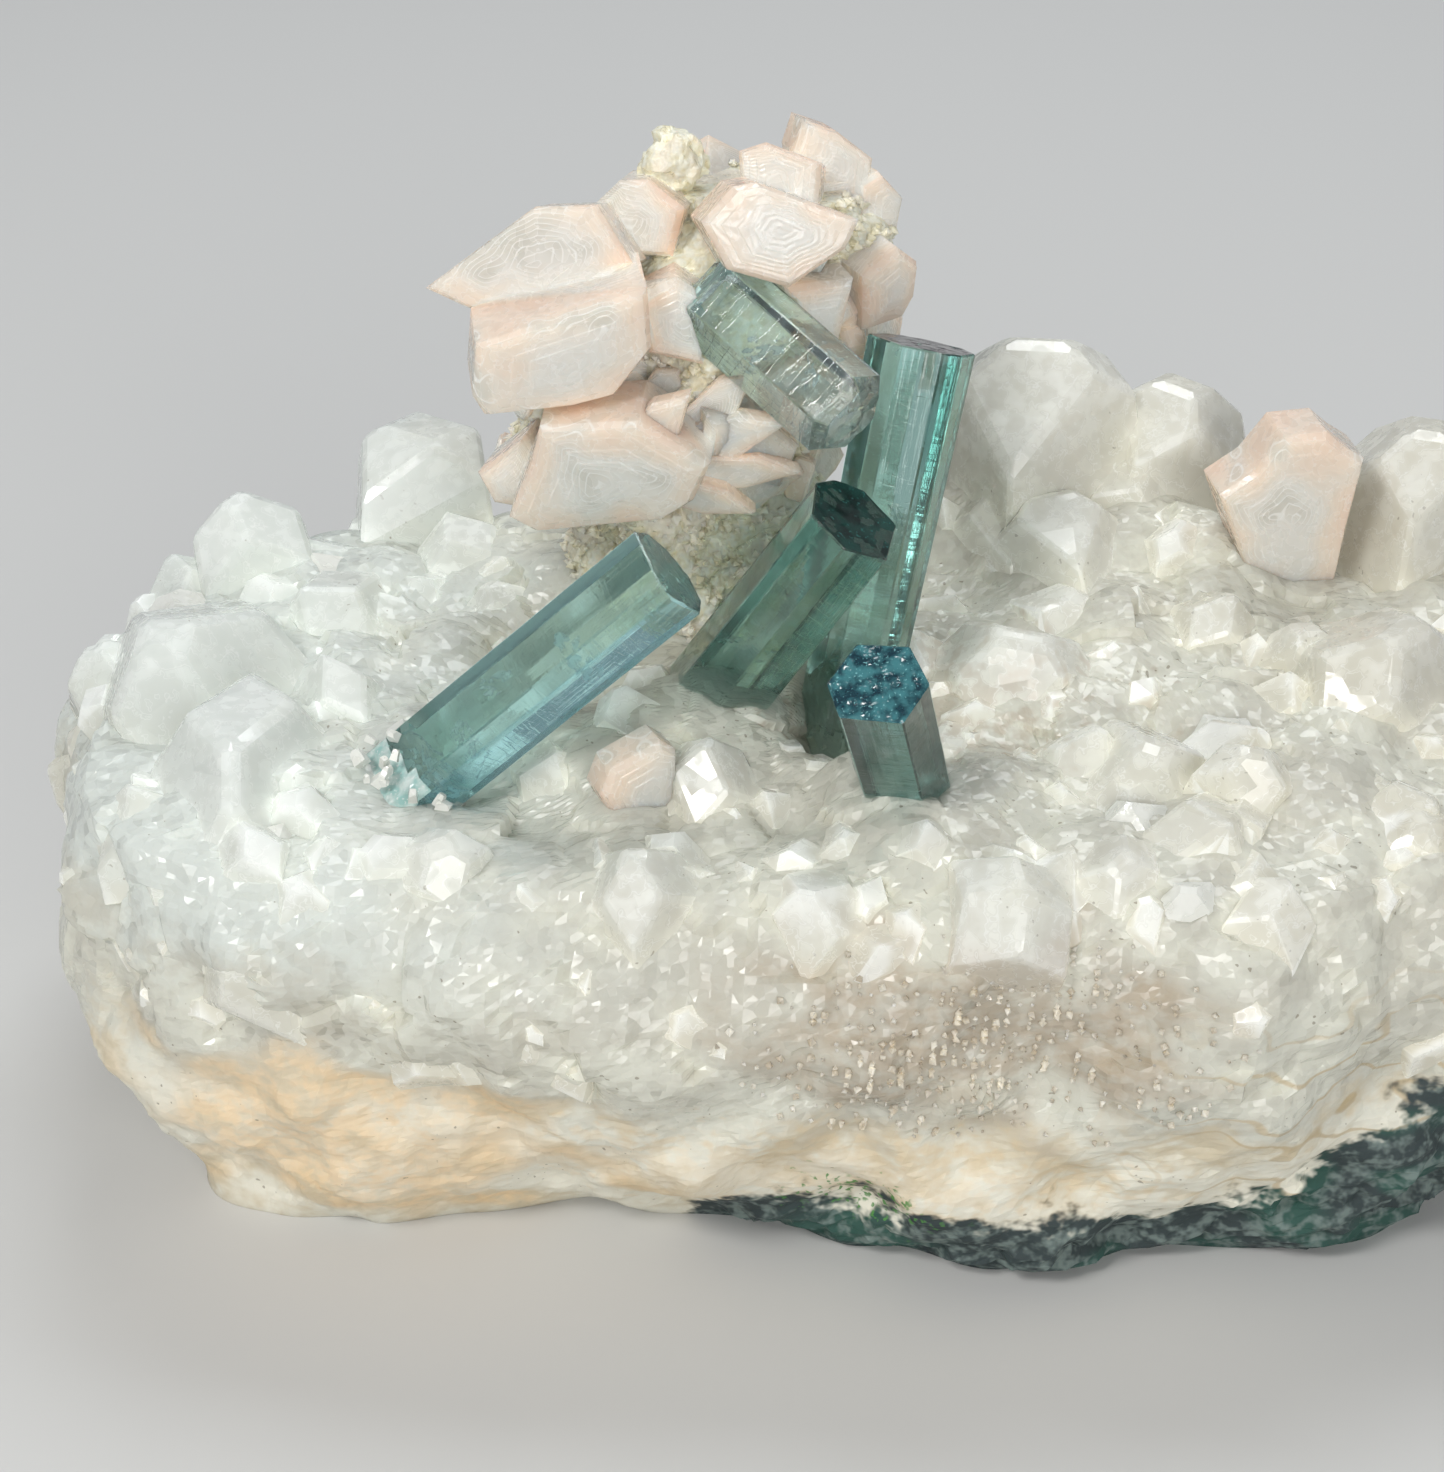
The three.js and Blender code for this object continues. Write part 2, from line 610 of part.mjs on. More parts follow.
// The lesser crystals: those of the crown follow a golden-angle spiral, those of the flank go round the slab.
function lesserCrystals() {
  const crown = Array.from({ length: CROWN_CRYSTALS }, (_, k) => {
    const foot = slabPoint((GOLDEN_ANGLE * k) / (2 * Math.PI) % 1, 2 - Math.sqrt((k + 0.5) / CROWN_CRYSTALS));
    const width = between(LESSER_WIDTH, k, 21);
    return {
      at: [foot.x, foot.y, foot.z - 0.7 * width],
      width,
      height: width * between([1.15, 1.9], k, 22),
      lean: [between([-0.4, 0.4], k, 23) + foot.x / 120, between([-0.5, 0.3], k, 24) + foot.y / 90, 1],
      turn: between([0, 90], k, 25),
      blunt: between([0.6, 0.95], k, 26),
    };
  });
  const flank = Array.from({ length: FLANK_CRYSTALS }, (_, k) => {
    const foot = slabPoint((k + between([0, 0.6], k, 31)) / FLANK_CRYSTALS, between(FLANK_LEVELS, k, 32));
    const out = new THREE.Vector3(foot.x, 2.6 * foot.y, 0).normalize();
    const width = between(LESSER_WIDTH, k, 33);
    return {
      at: [foot.x - width * out.x, foot.y - width * out.y, foot.z - 0.4 * width],
      width,
      height: width * between([1.2, 1.6], k, 34),
      lean: [out.x, out.y, between([0.2, 1], k, 35)],
      turn: between([0, 90], k, 36),
      blunt: between([0.6, 0.85], k, 37),
    };
  });
  const clear = ({ at: [x, y], width }) =>
    PLANTED.every((piece) => Math.hypot(x - piece.x, y - piece.y) > piece.radius + LESSER_STANDOFF + 0.35 * width);
  return [...crown.filter(clear), ...flank];
}

// The slab with its crust of crystals, and a socket for each piece that is planted in it.
function matrix(planted) {
  const crystals = [...GREAT_CRYSTALS, ...lesserCrystals()].map(blockyCrystal);
  const crusted = crystals.reduce((rock, crystal) => rock.add(crystal), slab());
  return planted.reduce((rock, piece) => rock.subtract(piece), crusted);
}

// The sheaf of blades on its core, with a socket for the blue crystal that leans on it.
function sheaf(leaning) {
  const blades = BLADES.map((blade) => tablet(blade));
  return [sheafKnob(), ...blades].reduce((core, piece) => core.add(piece), sheafCore()).subtract(leaning);
}

const specimen = new THREE.Group();
const upper = AQUAMARINES.find(({ name }) => name === "aquamarine_upper");
const planted = [
  sheafCore(GAP),
  ...LONE_BLADES.map((blade) => tablet(blade, GAP)),
  ...AQUAMARINES.filter((crystal) => crystal !== upper).map((crystal) => hexagonalCrystal(crystal, GAP)),
];
specimen.add(mesh("matrix", matrix(planted), COLOURS.crust, 0.45));
specimen.add(mesh("peach_sheaf", sheaf(hexagonalCrystal(upper, GAP)), COLOURS.sheaf, 0.5));
for (const blade of LONE_BLADES) {
  specimen.add(mesh(blade.name, tablet(blade), COLOURS.peach, 0.45));
}
for (const crystal of AQUAMARINES) {
  specimen.add(mesh(crystal.name, hexagonalCrystal(crystal), COLOURS.aquamarine, 0.08));
}

export default specimen;
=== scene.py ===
"""Looks of an aquamarine specimen: clear blue-green prisms and peach blades on a crusted slab of rock.

Every length below is in millimetres until a mesh is made. Every direction is in the frame of the specimen:
X to the right of the show side, Y away from it and Z up from the surface that the slab rests on.
"""

import logging
import math
from dataclasses import dataclass, field, replace
from enum import Enum
from itertools import combinations, product
from typing import Any, Callable, Iterable, Sequence

import bmesh
import bpy
import numpy as np
from mathutils import Matrix, Vector


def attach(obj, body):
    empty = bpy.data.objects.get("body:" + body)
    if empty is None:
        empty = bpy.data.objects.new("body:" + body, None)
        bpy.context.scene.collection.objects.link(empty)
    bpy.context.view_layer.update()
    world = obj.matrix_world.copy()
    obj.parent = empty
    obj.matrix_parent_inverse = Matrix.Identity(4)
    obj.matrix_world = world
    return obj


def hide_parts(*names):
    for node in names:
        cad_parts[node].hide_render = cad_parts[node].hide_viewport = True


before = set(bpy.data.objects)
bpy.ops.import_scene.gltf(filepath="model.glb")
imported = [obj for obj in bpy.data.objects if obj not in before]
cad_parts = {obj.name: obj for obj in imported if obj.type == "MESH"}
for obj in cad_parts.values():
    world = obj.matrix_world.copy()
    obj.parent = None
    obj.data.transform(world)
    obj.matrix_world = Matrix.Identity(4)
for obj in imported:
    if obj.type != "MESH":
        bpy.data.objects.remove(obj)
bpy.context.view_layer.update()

LOG = logging.getLogger("specimen")
Array = np.ndarray
Colour = tuple[float, float, float]
Point = tuple[float, float, float]
Socket = bpy.types.NodeSocket
Limits = tuple[float, float]
Piece = bpy.types.Object
Outline = tuple[tuple[float, float], ...]

MM = 0.001
CRUST_IOR, ROCK_IOR, CORE_IOR, BERYL_IOR = 1.54, 1.5, 1.52, 1.575
GOLDEN_ANGLE = math.pi * (3.0 - math.sqrt(5.0))
SHOW_TILT = math.radians(30.0)
SHOW_SIDE = np.array([0.0, -math.cos(SHOW_TILT), math.sin(SHOW_TILT)])


# Repeatable numbers and surface relief


def fraction(key: Array | float, channel: int) -> Array:
    """Gives a repeatable fraction from 0 to 1: the part after the point of a large sine of key and channel.

    Args:
        key: Whole numbers, one for each thing that needs a fraction.
        channel: Which of its fractions is wanted.

    Returns:
        The fractions, in the shape of key.
    """
    wave = np.sin(np.asarray(key, float) * 12.9898 + channel * 78.233) * 43758.5453
    return wave - np.floor(wave)


def between(limits: Limits, key: Array | float, channel: int) -> Array:
    """Gives a repeatable value between two limits.

    Args:
        limits: The lowest and highest value.
        key: Whole numbers, one for each value.
        channel: Which of the key's values is wanted.

    Returns:
        The values, in the shape of key.
    """
    low, high = limits
    return low + (high - low) * fraction(key, channel)


def unit(vectors: Array) -> Array:
    """Gives vectors of length one along the last axis."""
    return vectors / np.maximum(np.linalg.norm(vectors, axis=-1, keepdims=True), 1e-12)


def ease(value: Array, low: float, high: float) -> Array:
    """Rises from 0 at low to 1 at high on the curve t t (3 - 2 t).

    Args:
        value: Where on the curve.
        low: Where the rise starts.
        high: Where it ends. It may be lower than low.

    Returns:
        The height of the curve.
    """
    t = np.clip((value - low) / (high - low), 0.0, 1.0)
    return t * t * (3.0 - 2.0 * t)


class Relief:
    """Surface noise worked out on whole arrays of points, the same on every run."""

    FACTORS = np.array([374761393, 668265263, 2147483647])
    MIXER = 1274126177
    BITS = 0xFFFFFFFF

    @classmethod
    def hashed(cls, cell: Array, seed: int) -> Array:
        """Mixes a cell's three whole numbers by odd factors and shifts.

        Args:
            cell: Whole numbers with three in the last axis.
            seed: Which set of values is wanted.

        Returns:
            A fraction from 0 to 1 for each cell.
        """
        mixed = ((cell.astype(np.int64) * cls.FACTORS).sum(axis=-1) + seed * cls.MIXER) & cls.BITS
        mixed = ((mixed ^ (mixed >> 13)) * cls.MIXER) & cls.BITS
        return ((mixed ^ (mixed >> 16)) & 0xFFFF) / 65535.0

    @classmethod
    def value(cls, points: Array, size: float, seed: int) -> Array:
        """Blends the fractions of the eight cell corners round each point.

        Args:
            points: Places in millimetres.
            size: Size of a cell.
            seed: Which noise is wanted.

        Returns:
            Values from -1 to 1.
        """
        scaled = points / size
        cell = np.floor(scaled)
        t = scaled - cell
        t = t * t * (3.0 - 2.0 * t)
        total = np.zeros(points.shape[:-1])
        for corner in product((0, 1), repeat=3):
            weight = np.prod(np.where(np.array(corner) == 1, t, 1.0 - t), axis=-1)
            total += weight * cls.hashed(cell + corner, seed)
        return 2.0 * total - 1.0

    @classmethod
    def layered(cls, points: Array, size: float, octaves: int, seed: int) -> Array:
        """Adds noises, each half the size and height of the one before.

        Args:
            points: Places in millimetres.
            size: Cell size of the broadest noise.
            octaves: How many noises are added.
            seed: Which noise is wanted.

        Returns:
            Values of about -1 to 1.
        """
        return sum(cls.value(points, size / 2**k, seed + k) / 2**k for k in range(octaves)) / 1.6

    @classmethod
    def facets(cls, points: Array, size: float, seed: int) -> tuple[Array, Array]:
        """Breaks space into cells round scattered seeds, each cut flat at its own tilt and height.

        Args:
            points: Places in millimetres.
            size: Size of a cell.
            seed: Which pattern is wanted.

        Returns:
            The height of the flat face at each point, as a share of the cell size, and the distance to the
            next cell.
        """
        cell = np.floor(points / size)
        nearest = np.full(points.shape[:-1], np.inf)
        second = nearest.copy()
        height = np.zeros(points.shape[:-1])
        for offset in product((-1, 0, 1), repeat=3):
            here = cell + offset
            jitter = np.stack([cls.hashed(here, seed + k) for k in range(3)], axis=-1)
            gap = points / size - here - jitter
            distance = np.linalg.norm(gap, axis=-1)
            tilt = np.stack([cls.hashed(here, seed + 3 + k) for k in range(3)], axis=-1) - 0.5
            face = (gap * tilt).sum(axis=-1) + 0.5 * cls.hashed(here, seed + 6) - 0.25
            nearer = distance < nearest
            second = np.where(nearer, nearest, np.minimum(second, distance))
            height = np.where(nearer, face, height)
            nearest = np.where(nearer, distance, nearest)
        return height, second - nearest


@dataclass(frozen=True)
class Swell:
    """A swell of sine waves of about one length that cross in spread-out directions."""

    length: float
    height: float
    family: int
    waves: int = 7

    def at(self, points: Array) -> Array:
        """Gives the swell's height: the sum over the waves of sin(2 pi (p . direction) / length + phase).

        Args:
            points: Places in millimetres.

        Returns:
            The height at each place.
        """
        total = np.zeros(points.shape[:-1])
        for k in range(self.waves):
            rise = 1.0 - (2 * k + 1) / self.waves
            flat = math.sqrt(1.0 - rise * rise)
            heading = GOLDEN_ANGLE * (k + self.family)
            along = points @ np.array([flat * math.cos(heading), flat * math.sin(heading), rise])
            length = self.length * (0.8 + 0.4 * float(fraction(k, self.family)))
            total += np.sin(2.0 * math.pi * along / length + k * self.family)
        return self.height * total / math.sqrt(self.waves / 2.0)


# Closed surfaces


def lifted(flat: Array, height: Any) -> Array:
    """Gives each flat point a height as its third number."""
    return np.concatenate([flat, np.broadcast_to(height, flat.shape[:-1])[..., None]], axis=-1)


def turned(degrees: float, axis: int) -> Array:
    """Works out a turn about one of the three axes.

    Args:
        degrees: How far, anticlockwise.
        axis: 0 for X, 1 for Y and 2 for Z.

    Returns:
        The turn as a matrix of shape (3, 3).
    """
    one, other = (axis + 1) % 3, (axis + 2) % 3
    turn = np.eye(3)
    turn[one, one] = turn[other, other] = math.cos(math.radians(degrees))
    turn[other, one] = math.sin(math.radians(degrees))
    turn[one, other] = -turn[other, one]
    return turn


@dataclass
class Shell:
    """A closed surface: points in millimetres, faces as rows of point numbers, and a finish number a face."""

    points: Array
    faces: list[list[int]]
    marks: list[int] = field(default_factory=list)
    rim: Array | None = None

    @staticmethod
    def joined(shells: Iterable["Shell"]) -> "Shell":
        """Puts several shells in one, side by side.

        Args:
            shells: The shells, which keep their order.

        Returns:
            One shell with every point and face.
        """
        points, faces, marks, rims, start = [], [], [], [], 0
        for shell in shells:
            points.append(shell.points)
            faces += [[start + corner for corner in face] for face in shell.faces]
            marks += shell.marks or [0] * len(shell.faces)
            rims.append(np.zeros(len(shell.points)) if shell.rim is None else shell.rim)
            start += len(shell.points)
        return Shell(np.concatenate(points), faces, marks, np.concatenate(rims))

    @staticmethod
    def revolved(rows: Array) -> "Shell":
        """Closes a grid of points whose rows are rings, with a fan over the middle of both end rings.

        Args:
            rows: Points of shape (rings, sides, 3), from the bottom up, anticlockwise from above.

        Returns:
            The closed shell.
        """
        rings, sides, _ = rows.shape
        column = np.arange(sides)
        following = (column + 1) % sides
        base = (np.arange(rings - 1) * sides)[:, None]
        upper = base + sides
        quads = np.stack([base + column, base + following, upper + following, upper + column], axis=-1)
        bottom, top, last = rings * sides, rings * sides + 1, (rings - 1) * sides
        below = np.stack([np.full(sides, bottom), following, column], axis=-1)
        above = np.stack([np.full(sides, top), last + column, last + following], axis=-1)
        points = np.concatenate([rows.reshape(-1, 3), rows[:1].mean(axis=1), rows[-1:].mean(axis=1)])
        return Shell(points, quads.reshape(-1, 4).tolist() + below.tolist() + above.tolist())

    def marked(self, number: int) -> "Shell":
        """Gives the same shell with every face marked for one of a piece's finishes."""
        return Shell(self.points, self.faces, [number] * len(self.faces), self.rim)

    def object(self, name: str, finishes: Sequence["Finish"]) -> Piece:
        """Makes a Blender object at the origin, with its place in its mesh.

        Args:
            name: The object's name.
            finishes: The finishes that the marks count from.

        Returns:
            The object, linked to the scene.
        """
        mesh = bpy.data.meshes.new(name)
        mesh.from_pydata((self.points * MM).tolist(), [], self.faces)
        for finish in finishes:
            mesh.materials.append(finish.material())
        if self.marks:
            mesh.polygons.foreach_set("material_index", self.marks)
        if self.rim is not None:
            mesh.attributes.new("rim", "FLOAT", "POINT").data.foreach_set("value", self.rim)
        mesh.validate(clean_customdata=False)
        mesh.update()
        made = bpy.data.objects.new(name, mesh)
        bpy.context.scene.collection.objects.link(made)
        return made


def drop_chips(mesh: bpy.types.Mesh) -> None:
    """Deletes all but the largest joined part of a mesh, because a boolean can leave chips inside it.

    Every vertex starts with its own number, and both ends of each edge take the lower one until none changes.

    Args:
        mesh: The mesh.
    """
    ends = np.empty(2 * len(mesh.edges), np.int32)
    mesh.edges.foreach_get("vertices", ends)
    one, other = ends.reshape(-1, 2).T
    label, lower = None, np.arange(len(mesh.vertices))
    while label is None or (lower != label).any():
        label = lower
        low = np.minimum(label[one], label[other])
        lower = label.copy()
        np.minimum.at(lower, one, low)
        np.minimum.at(lower, other, low)
        lower = lower[lower]
    chips = np.flatnonzero(label != np.bincount(label).argmax())
    if len(chips):
        shape = bmesh.new()
        shape.from_mesh(mesh)
        shape.verts.ensure_lookup_table()
        bmesh.ops.delete(shape, geom=[shape.verts[k] for k in chips], context="VERTS")
        shape.to_mesh(mesh)
        shape.free()


def fuse(base: Piece, layers: Sequence[Piece], cutters: Sequence[Piece] = ()) -> None:
    """Joins layers of separate solids into a base as one skin and cuts seats in it, by boolean modifiers.

    Args:
        base: The solid that stays.
        layers: Objects whose solids don't overlap within one layer. They are removed.
        cutters: Objects whose form is cut out afterwards. They are removed.
    """
    steps = [(layer, "UNION") for layer in layers] + [(cutter, "DIFFERENCE") for cutter in cutters]
    for tool, operation in steps:
        joint = base.modifiers.new(tool.name, "BOOLEAN")
        joint.operation = operation
        joint.solver = "MANIFOLD"
        joint.object = tool
    bpy.context.view_layer.update()
    view = bpy.context.evaluated_depsgraph_get()
    skin = bpy.data.meshes.new_from_object(base.evaluated_get(view), depsgraph=view)
    drop_chips(skin)
    old = base.data
    base.modifiers.clear()
    base.data = skin
    bpy.data.meshes.remove(old)
    for tool, _ in steps:
        bpy.data.meshes.remove(tool.data)


def axes_along(directions: Array, turns: Array) -> Array:
    """Gives frames with the third axis along a direction and the first to its right from the show side.

    Args:
        directions: Directions of shape (n, 3).
        turns: Turns about them in degrees, of shape (n,).

    Returns:
        Frames of shape (n, 3, 3), with an axis in each column.
    """
    along = unit(directions)
    across = unit(np.cross(along, SHOW_SIDE))
    away = np.cross(along, across)
    c, s = np.cos(np.radians(turns))[:, None], np.sin(np.radians(turns))[:, None]
    return np.stack([across * c + away * s, away * c - across * s, along], axis=-1)


def cut_solid(normals: Array, offsets: Array) -> tuple[Array, list[list[int]], list[int]]:
    """Works out the solid that planes enclose: its corners are where three planes meet inside all the others.

    Args:
        normals: Outward normals of shape (planes, 3).
        offsets: How far each plane lies along its normal.

    Returns:
        The corners, the faces as rows of corner numbers, and the plane of each face.
    """
    triples = np.array(list(combinations(range(len(normals)), 3)))
    a, b, c = normals[triples[:, 0]], normals[triples[:, 1]], normals[triples[:, 2]]
    volume = np.einsum("ij,ij->i", a, np.cross(b, c))
    crossing = np.abs(volume) > 1e-4
    triples, a, b, c, volume = triples[crossing], a[crossing], b[crossing], c[crossing], volume[crossing]
    reach = offsets[triples]
    corners = reach[:, :1] * np.cross(b, c) + reach[:, 1:2] * np.cross(c, a) + reach[:, 2:] * np.cross(a, b)
    corners = corners / volume[:, None]
    inside = (corners @ normals.T <= offsets + 1e-5).all(axis=1)
    corners = np.unique(np.round(corners[inside], 4), axis=0)
    faces, planes = [], []
    touching = np.abs(corners @ normals.T - offsets) < 4e-4
    for plane, normal in enumerate(normals):
        on_plane = np.flatnonzero(touching[:, plane])
        if len(on_plane) < 3:
            continue
        spokes = corners[on_plane] - corners[on_plane].mean(axis=0)
        first = unit(spokes[0])
        order = np.argsort(np.arctan2(spokes @ np.cross(normal, first), spokes @ first))
        faces.append(on_plane[order].tolist())
        planes.append(plane)
    return corners, faces, planes


def chamfered(normals: Array, offsets: Array, width: float) -> Shell:
    """Cuts a solid from planes and takes a narrow flat off every edge between two of its faces.

    Args:
        normals: Outward normals of shape (planes, 3).
        offsets: How far each plane lies along its normal.
        width: How deep the flats are cut.

    Returns:
        The solid.
    """
    corners, faces, planes = cut_solid(normals, offsets)
    extra, reach = [], []
    for (one, p), (other, q) in combinations(zip(faces, planes), 2):
        shared = list(set(one) & set(other))
        if len(shared) == 2:
            normal = unit(normals[p] + normals[q])
            extra.append(normal)
            reach.append((corners[shared] @ normal).max() - width)
    corners, faces, _ = cut_solid(np.vstack([normals, extra]), np.concatenate([offsets, reach]))
    return Shell(corners, faces)


# Shader trees


class Tree:
    """A shader tree with short ways to add nodes and link them."""

    def __init__(self, tree: bpy.types.NodeTree) -> None:
        """Empties the tree and keeps it."""
        self.tree = tree
        tree.nodes.clear()

    def add(self, kind: str, inputs: dict[str | int, Any] | None = None, **settings: Any) -> bpy.types.Node:
        """Adds a node.

        Args:
            kind: The node's type without its ShaderNode prefix.
            inputs: What each input socket is linked or set to.
            **settings: Properties of the node.

        Returns:
            The node.
        """
        node = self.tree.nodes.new("ShaderNode" + kind)
        for name, value in settings.items():
            setattr(node, name, value)
        for name, value in (inputs or {}).items():
            self.feed(node.inputs[name], value)
        return node

    def feed(self, socket: Socket, value: Any) -> None:
        """Links a socket to another socket, or sets it to a plain value.

        Args:
            socket: The input to feed.
            value: The output that feeds it, or its plain value.
        """
        if isinstance(value, Socket):
            self.tree.links.new(value, socket)
        elif socket.type == "RGBA":
            socket.default_value = (*value, 1.0)
        else:
            socket.default_value = value

    def place(self) -> Socket:
        """Gives the place on the piece in millimetres."""
        where = self.add("TexCoord").outputs["Object"]
        return self.add("VectorMath", {0: where, "Scale": 1000.0}, operation="SCALE").outputs[0]

    def calc(self, operation: str, one: Any, other: Any = 0.0) -> Socket:
        """Works out one operation on two numbers."""
        return self.add("Math", {0: one, 1: other}, operation=operation).outputs[0]

    def vector(self, operation: str, one: Any, other: Any) -> Socket:
        """Works out one operation on two vectors."""
        return self.add("VectorMath", {0: one, 1: other}, operation=operation).outputs[0]

    def sum(self, one: Any, other: Any) -> Socket:
        """Adds two numbers."""
        return self.calc("ADD", one, other)

    def times(self, one: Any, other: Any) -> Socket:
        """Multiplies two numbers."""
        return self.calc("MULTIPLY", one, other)

    def rise(self, value: Any, low: float, high: float, bottom: float = 0.0, top: float = 1.0) -> Socket:
        """Rises smoothly from bottom at low to top at high."""
        inputs = {"Value": value, "From Min": low, "From Max": high, "To Min": bottom, "To Max": top}
        return self.add("MapRange", inputs, interpolation_type="SMOOTHSTEP").outputs[0]

    def noise(self, at: Any, size: float, detail: float = 3.0) -> Socket:
        """Gives noise from 0 to 1 whose lumps are about size millimetres."""
        inputs = {"Vector": at, "Scale": 1.0 / size, "Detail": detail}
        return self.add("TexNoise", inputs).outputs["Fac"]

    def blend(self, share: Any, one: Any, other: Any) -> Socket:
        """Blends two colours.

        Args:
            share: How much of the other colour shows, from 0 to 1.
            one: The first colour.
            other: The other colour.

        Returns:
            The blend.
        """
        node = self.add("Mix", data_type="RGBA", blend_type="MIX")
        for socket, value in zip((node.inputs[0], node.inputs[6], node.inputs[7]), (share, one, other)):
            self.feed(socket, value)
        return node.outputs[2]

    def split(self, at: Any) -> Sequence[Socket]:
        """Gives the three parts of a vector."""
        return self.add("SeparateXYZ", {0: at}).outputs

    def bump(self, height: Any, depth: float, strength: float) -> Socket:
        """Gives a normal that dents by depth millimetres."""
        return self.add("Bump", {"Height": height, "Distance": depth * MM, "Strength": strength}).outputs[0]

    def shards(self, at: Socket, size: float, amount: Any) -> tuple[Any, Any]:
        """Breaks the surface into flat faces that each lean their own way and have their own tone.

        Args:
            at: The place on the piece in millimetres.
            size: About how wide a face is, in millimetres.
            amount: How far the faces lean, 0 for not at all.

        Returns:
            The tone of each face, from 0 to 1, and the normal.
        """
        cell = self.add("TexVoronoi", {"Vector": at, "Scale": 1.0 / size, "Randomness": 1.0}).outputs["Color"]
        offset = self.vector("SUBTRACT", cell, (0.5, 0.5, 0.5))
        scaled = self.add("VectorMath", {0: offset, "Scale": amount}, operation="SCALE").outputs[0]
        plain = self.add("NewGeometry").outputs["Normal"]
        summed = self.vector("ADD", plain, scaled)
        return self.split(cell)[0], self.add("VectorMath", {0: summed}, operation="NORMALIZE").outputs[0]

    def use(self, group: "SharedGroup", output: str, **inputs: Any) -> Socket:
        """Adds a shared group.

        Args:
            group: The group.
            output: Which of its outputs is wanted.
            **inputs: What each of its inputs is linked or set to.

        Returns:
            The output.
        """
        node = self.add("Group")
        node.node_tree = group.tree()
        for name, value in inputs.items():
            self.feed(node.inputs[name], value)
        return node.outputs[output]

    def milk(self, at: Socket, *size: float) -> tuple[Socket, Socket]:
        """Gives the clouds inside a crystal and the frost on it, for lumps of a size along each axis."""
        return tuple(self.use(SharedGroup.MILK, name, Vector=at, Size=size) for name in ("Cloud", "Frost"))

    def patch(self, at: Socket, centre: Point, reach: Point, noise: Socket, ragged: float) -> Socket:
        """Marks a patch round a place.

        Args:
            at: The place on the piece in millimetres.
            centre: The middle of the patch.
            reach: Its half lengths.
            noise: What breaks its edge.
            ragged: How far the edge is broken.

        Returns:
            The mask, 1 inside.
        """
        return self.use(
            SharedGroup.PATCH, "Mask", Vector=at, Centre=centre, Reach=reach, Noise=noise, Ragged=ragged
        )

    def thread(self, noise: Socket, width: float) -> Socket:
        """Marks thin threads, where a noise lies within a width of its middle."""
        return self.rise(self.calc("ABSOLUTE", self.calc("SUBTRACT", noise, 0.5)), width, 0.0, 0.0, 0.35)

    def milky(
        self, look: tuple[Any, Any, float, Socket], weight: float, scatter: float, radius: Colour
    ) -> Socket:
        """Adds a surface that light sinks into.

        Args:
            look: The colour, the roughness, the index of refraction and the normal.
            weight: The share of the light that sinks in.
            scatter: How far it spreads, in millimetres.
            radius: How far red, green and blue spread, as shares of that.

        Returns:
            The surface shader.
        """
        inputs = dict(zip(("Base Color", "Roughness", "IOR", "Normal"), look))
        inputs |= {"Subsurface Weight": weight, "Subsurface Radius": radius, "Subsurface Scale": scatter * MM}
        return self.add("BsdfPrincipled", inputs, subsurface_method="BURLEY").outputs[0]


class SharedGroup(Enum):
    """The node groups that several finishes share."""

    PATCH = "Ragged patch"
    MILK = "Milk and frost"
    SUGAR = "Sugar grain"
    SPECKS = "Specks"
    WEAR = "Edge wear"

    def tree(self) -> bpy.types.NodeTree:
        """Gives the group's tree, made at its first use.

        Returns:
            The node tree.
        """
        if self.value in bpy.data.node_groups:
            return bpy.data.node_groups[self.value]
        made = bpy.data.node_groups.new(self.value, "ShaderNodeTree")
        build, inputs, outputs = GROUP_PLANS[self]
        for name, (kind, value) in inputs.items():
            socket = made.interface.new_socket(name=name, in_out="INPUT", socket_type=kind)
            if value is not None:
                socket.default_value = value
        for name in outputs:
            made.interface.new_socket(name=name, in_out="OUTPUT", socket_type=FLOAT)
        tree = Tree(made)
        given = made.nodes.new("NodeGroupInput").outputs
        result = made.nodes.new("NodeGroupOutput")
        for name, socket in zip(outputs, build(tree, given)):
            made.links.new(socket, result.inputs[name])
        return made


Sockets = tuple[Socket, ...]


def build_patch(tree: Tree, given: Any) -> Sockets:
    """Gives 1 inside an ellipsoid and 0 outside, with a ragged edge: scaled distance plus the given noise.

    Args:
        tree: The group's tree.
        given: The group's inputs.

    Returns:
        The outputs.
    """
    offset = tree.vector("SUBTRACT", given["Vector"], given["Centre"])
    scaled = tree.vector("DIVIDE", offset, given["Reach"])
    distance = tree.add("VectorMath", {0: scaled}, operation="LENGTH").outputs["Value"]
    rough = tree.calc("SUBTRACT", given["Noise"], 0.5)
    return (tree.rise(tree.sum(distance, tree.times(rough, given["Ragged"])), 1.1, 0.55),)


def build_milk(tree: Tree, given: Any) -> Sockets:
    """Gives a broad and a fine noise, for the clouds inside a crystal and the frost on it.

    Args:
        tree: The group's tree.
        given: The group's inputs.

    Returns:
        The outputs.
    """
    scaled = tree.vector("DIVIDE", given["Vector"], given["Size"])
    return tree.noise(scaled, 1.0, 1.0), tree.noise(scaled, 0.2, 2.0)


def build_sugar(tree: Tree, given: Any) -> Sockets:
    """Gives the height of packed grains: the distance to the nearest of many scattered seeds, turned over.

    Args:
        tree: The group's tree.
        given: The group's inputs.

    Returns:
        The outputs.
    """
    scaled = tree.vector("DIVIDE", given["Vector"], given["Size"])
    near = tree.add("TexVoronoi", {"Vector": scaled, "Scale": 1.0, "Randomness": 1.0}).outputs["Distance"]
    return (tree.rise(near, 0.75, 0.05),)


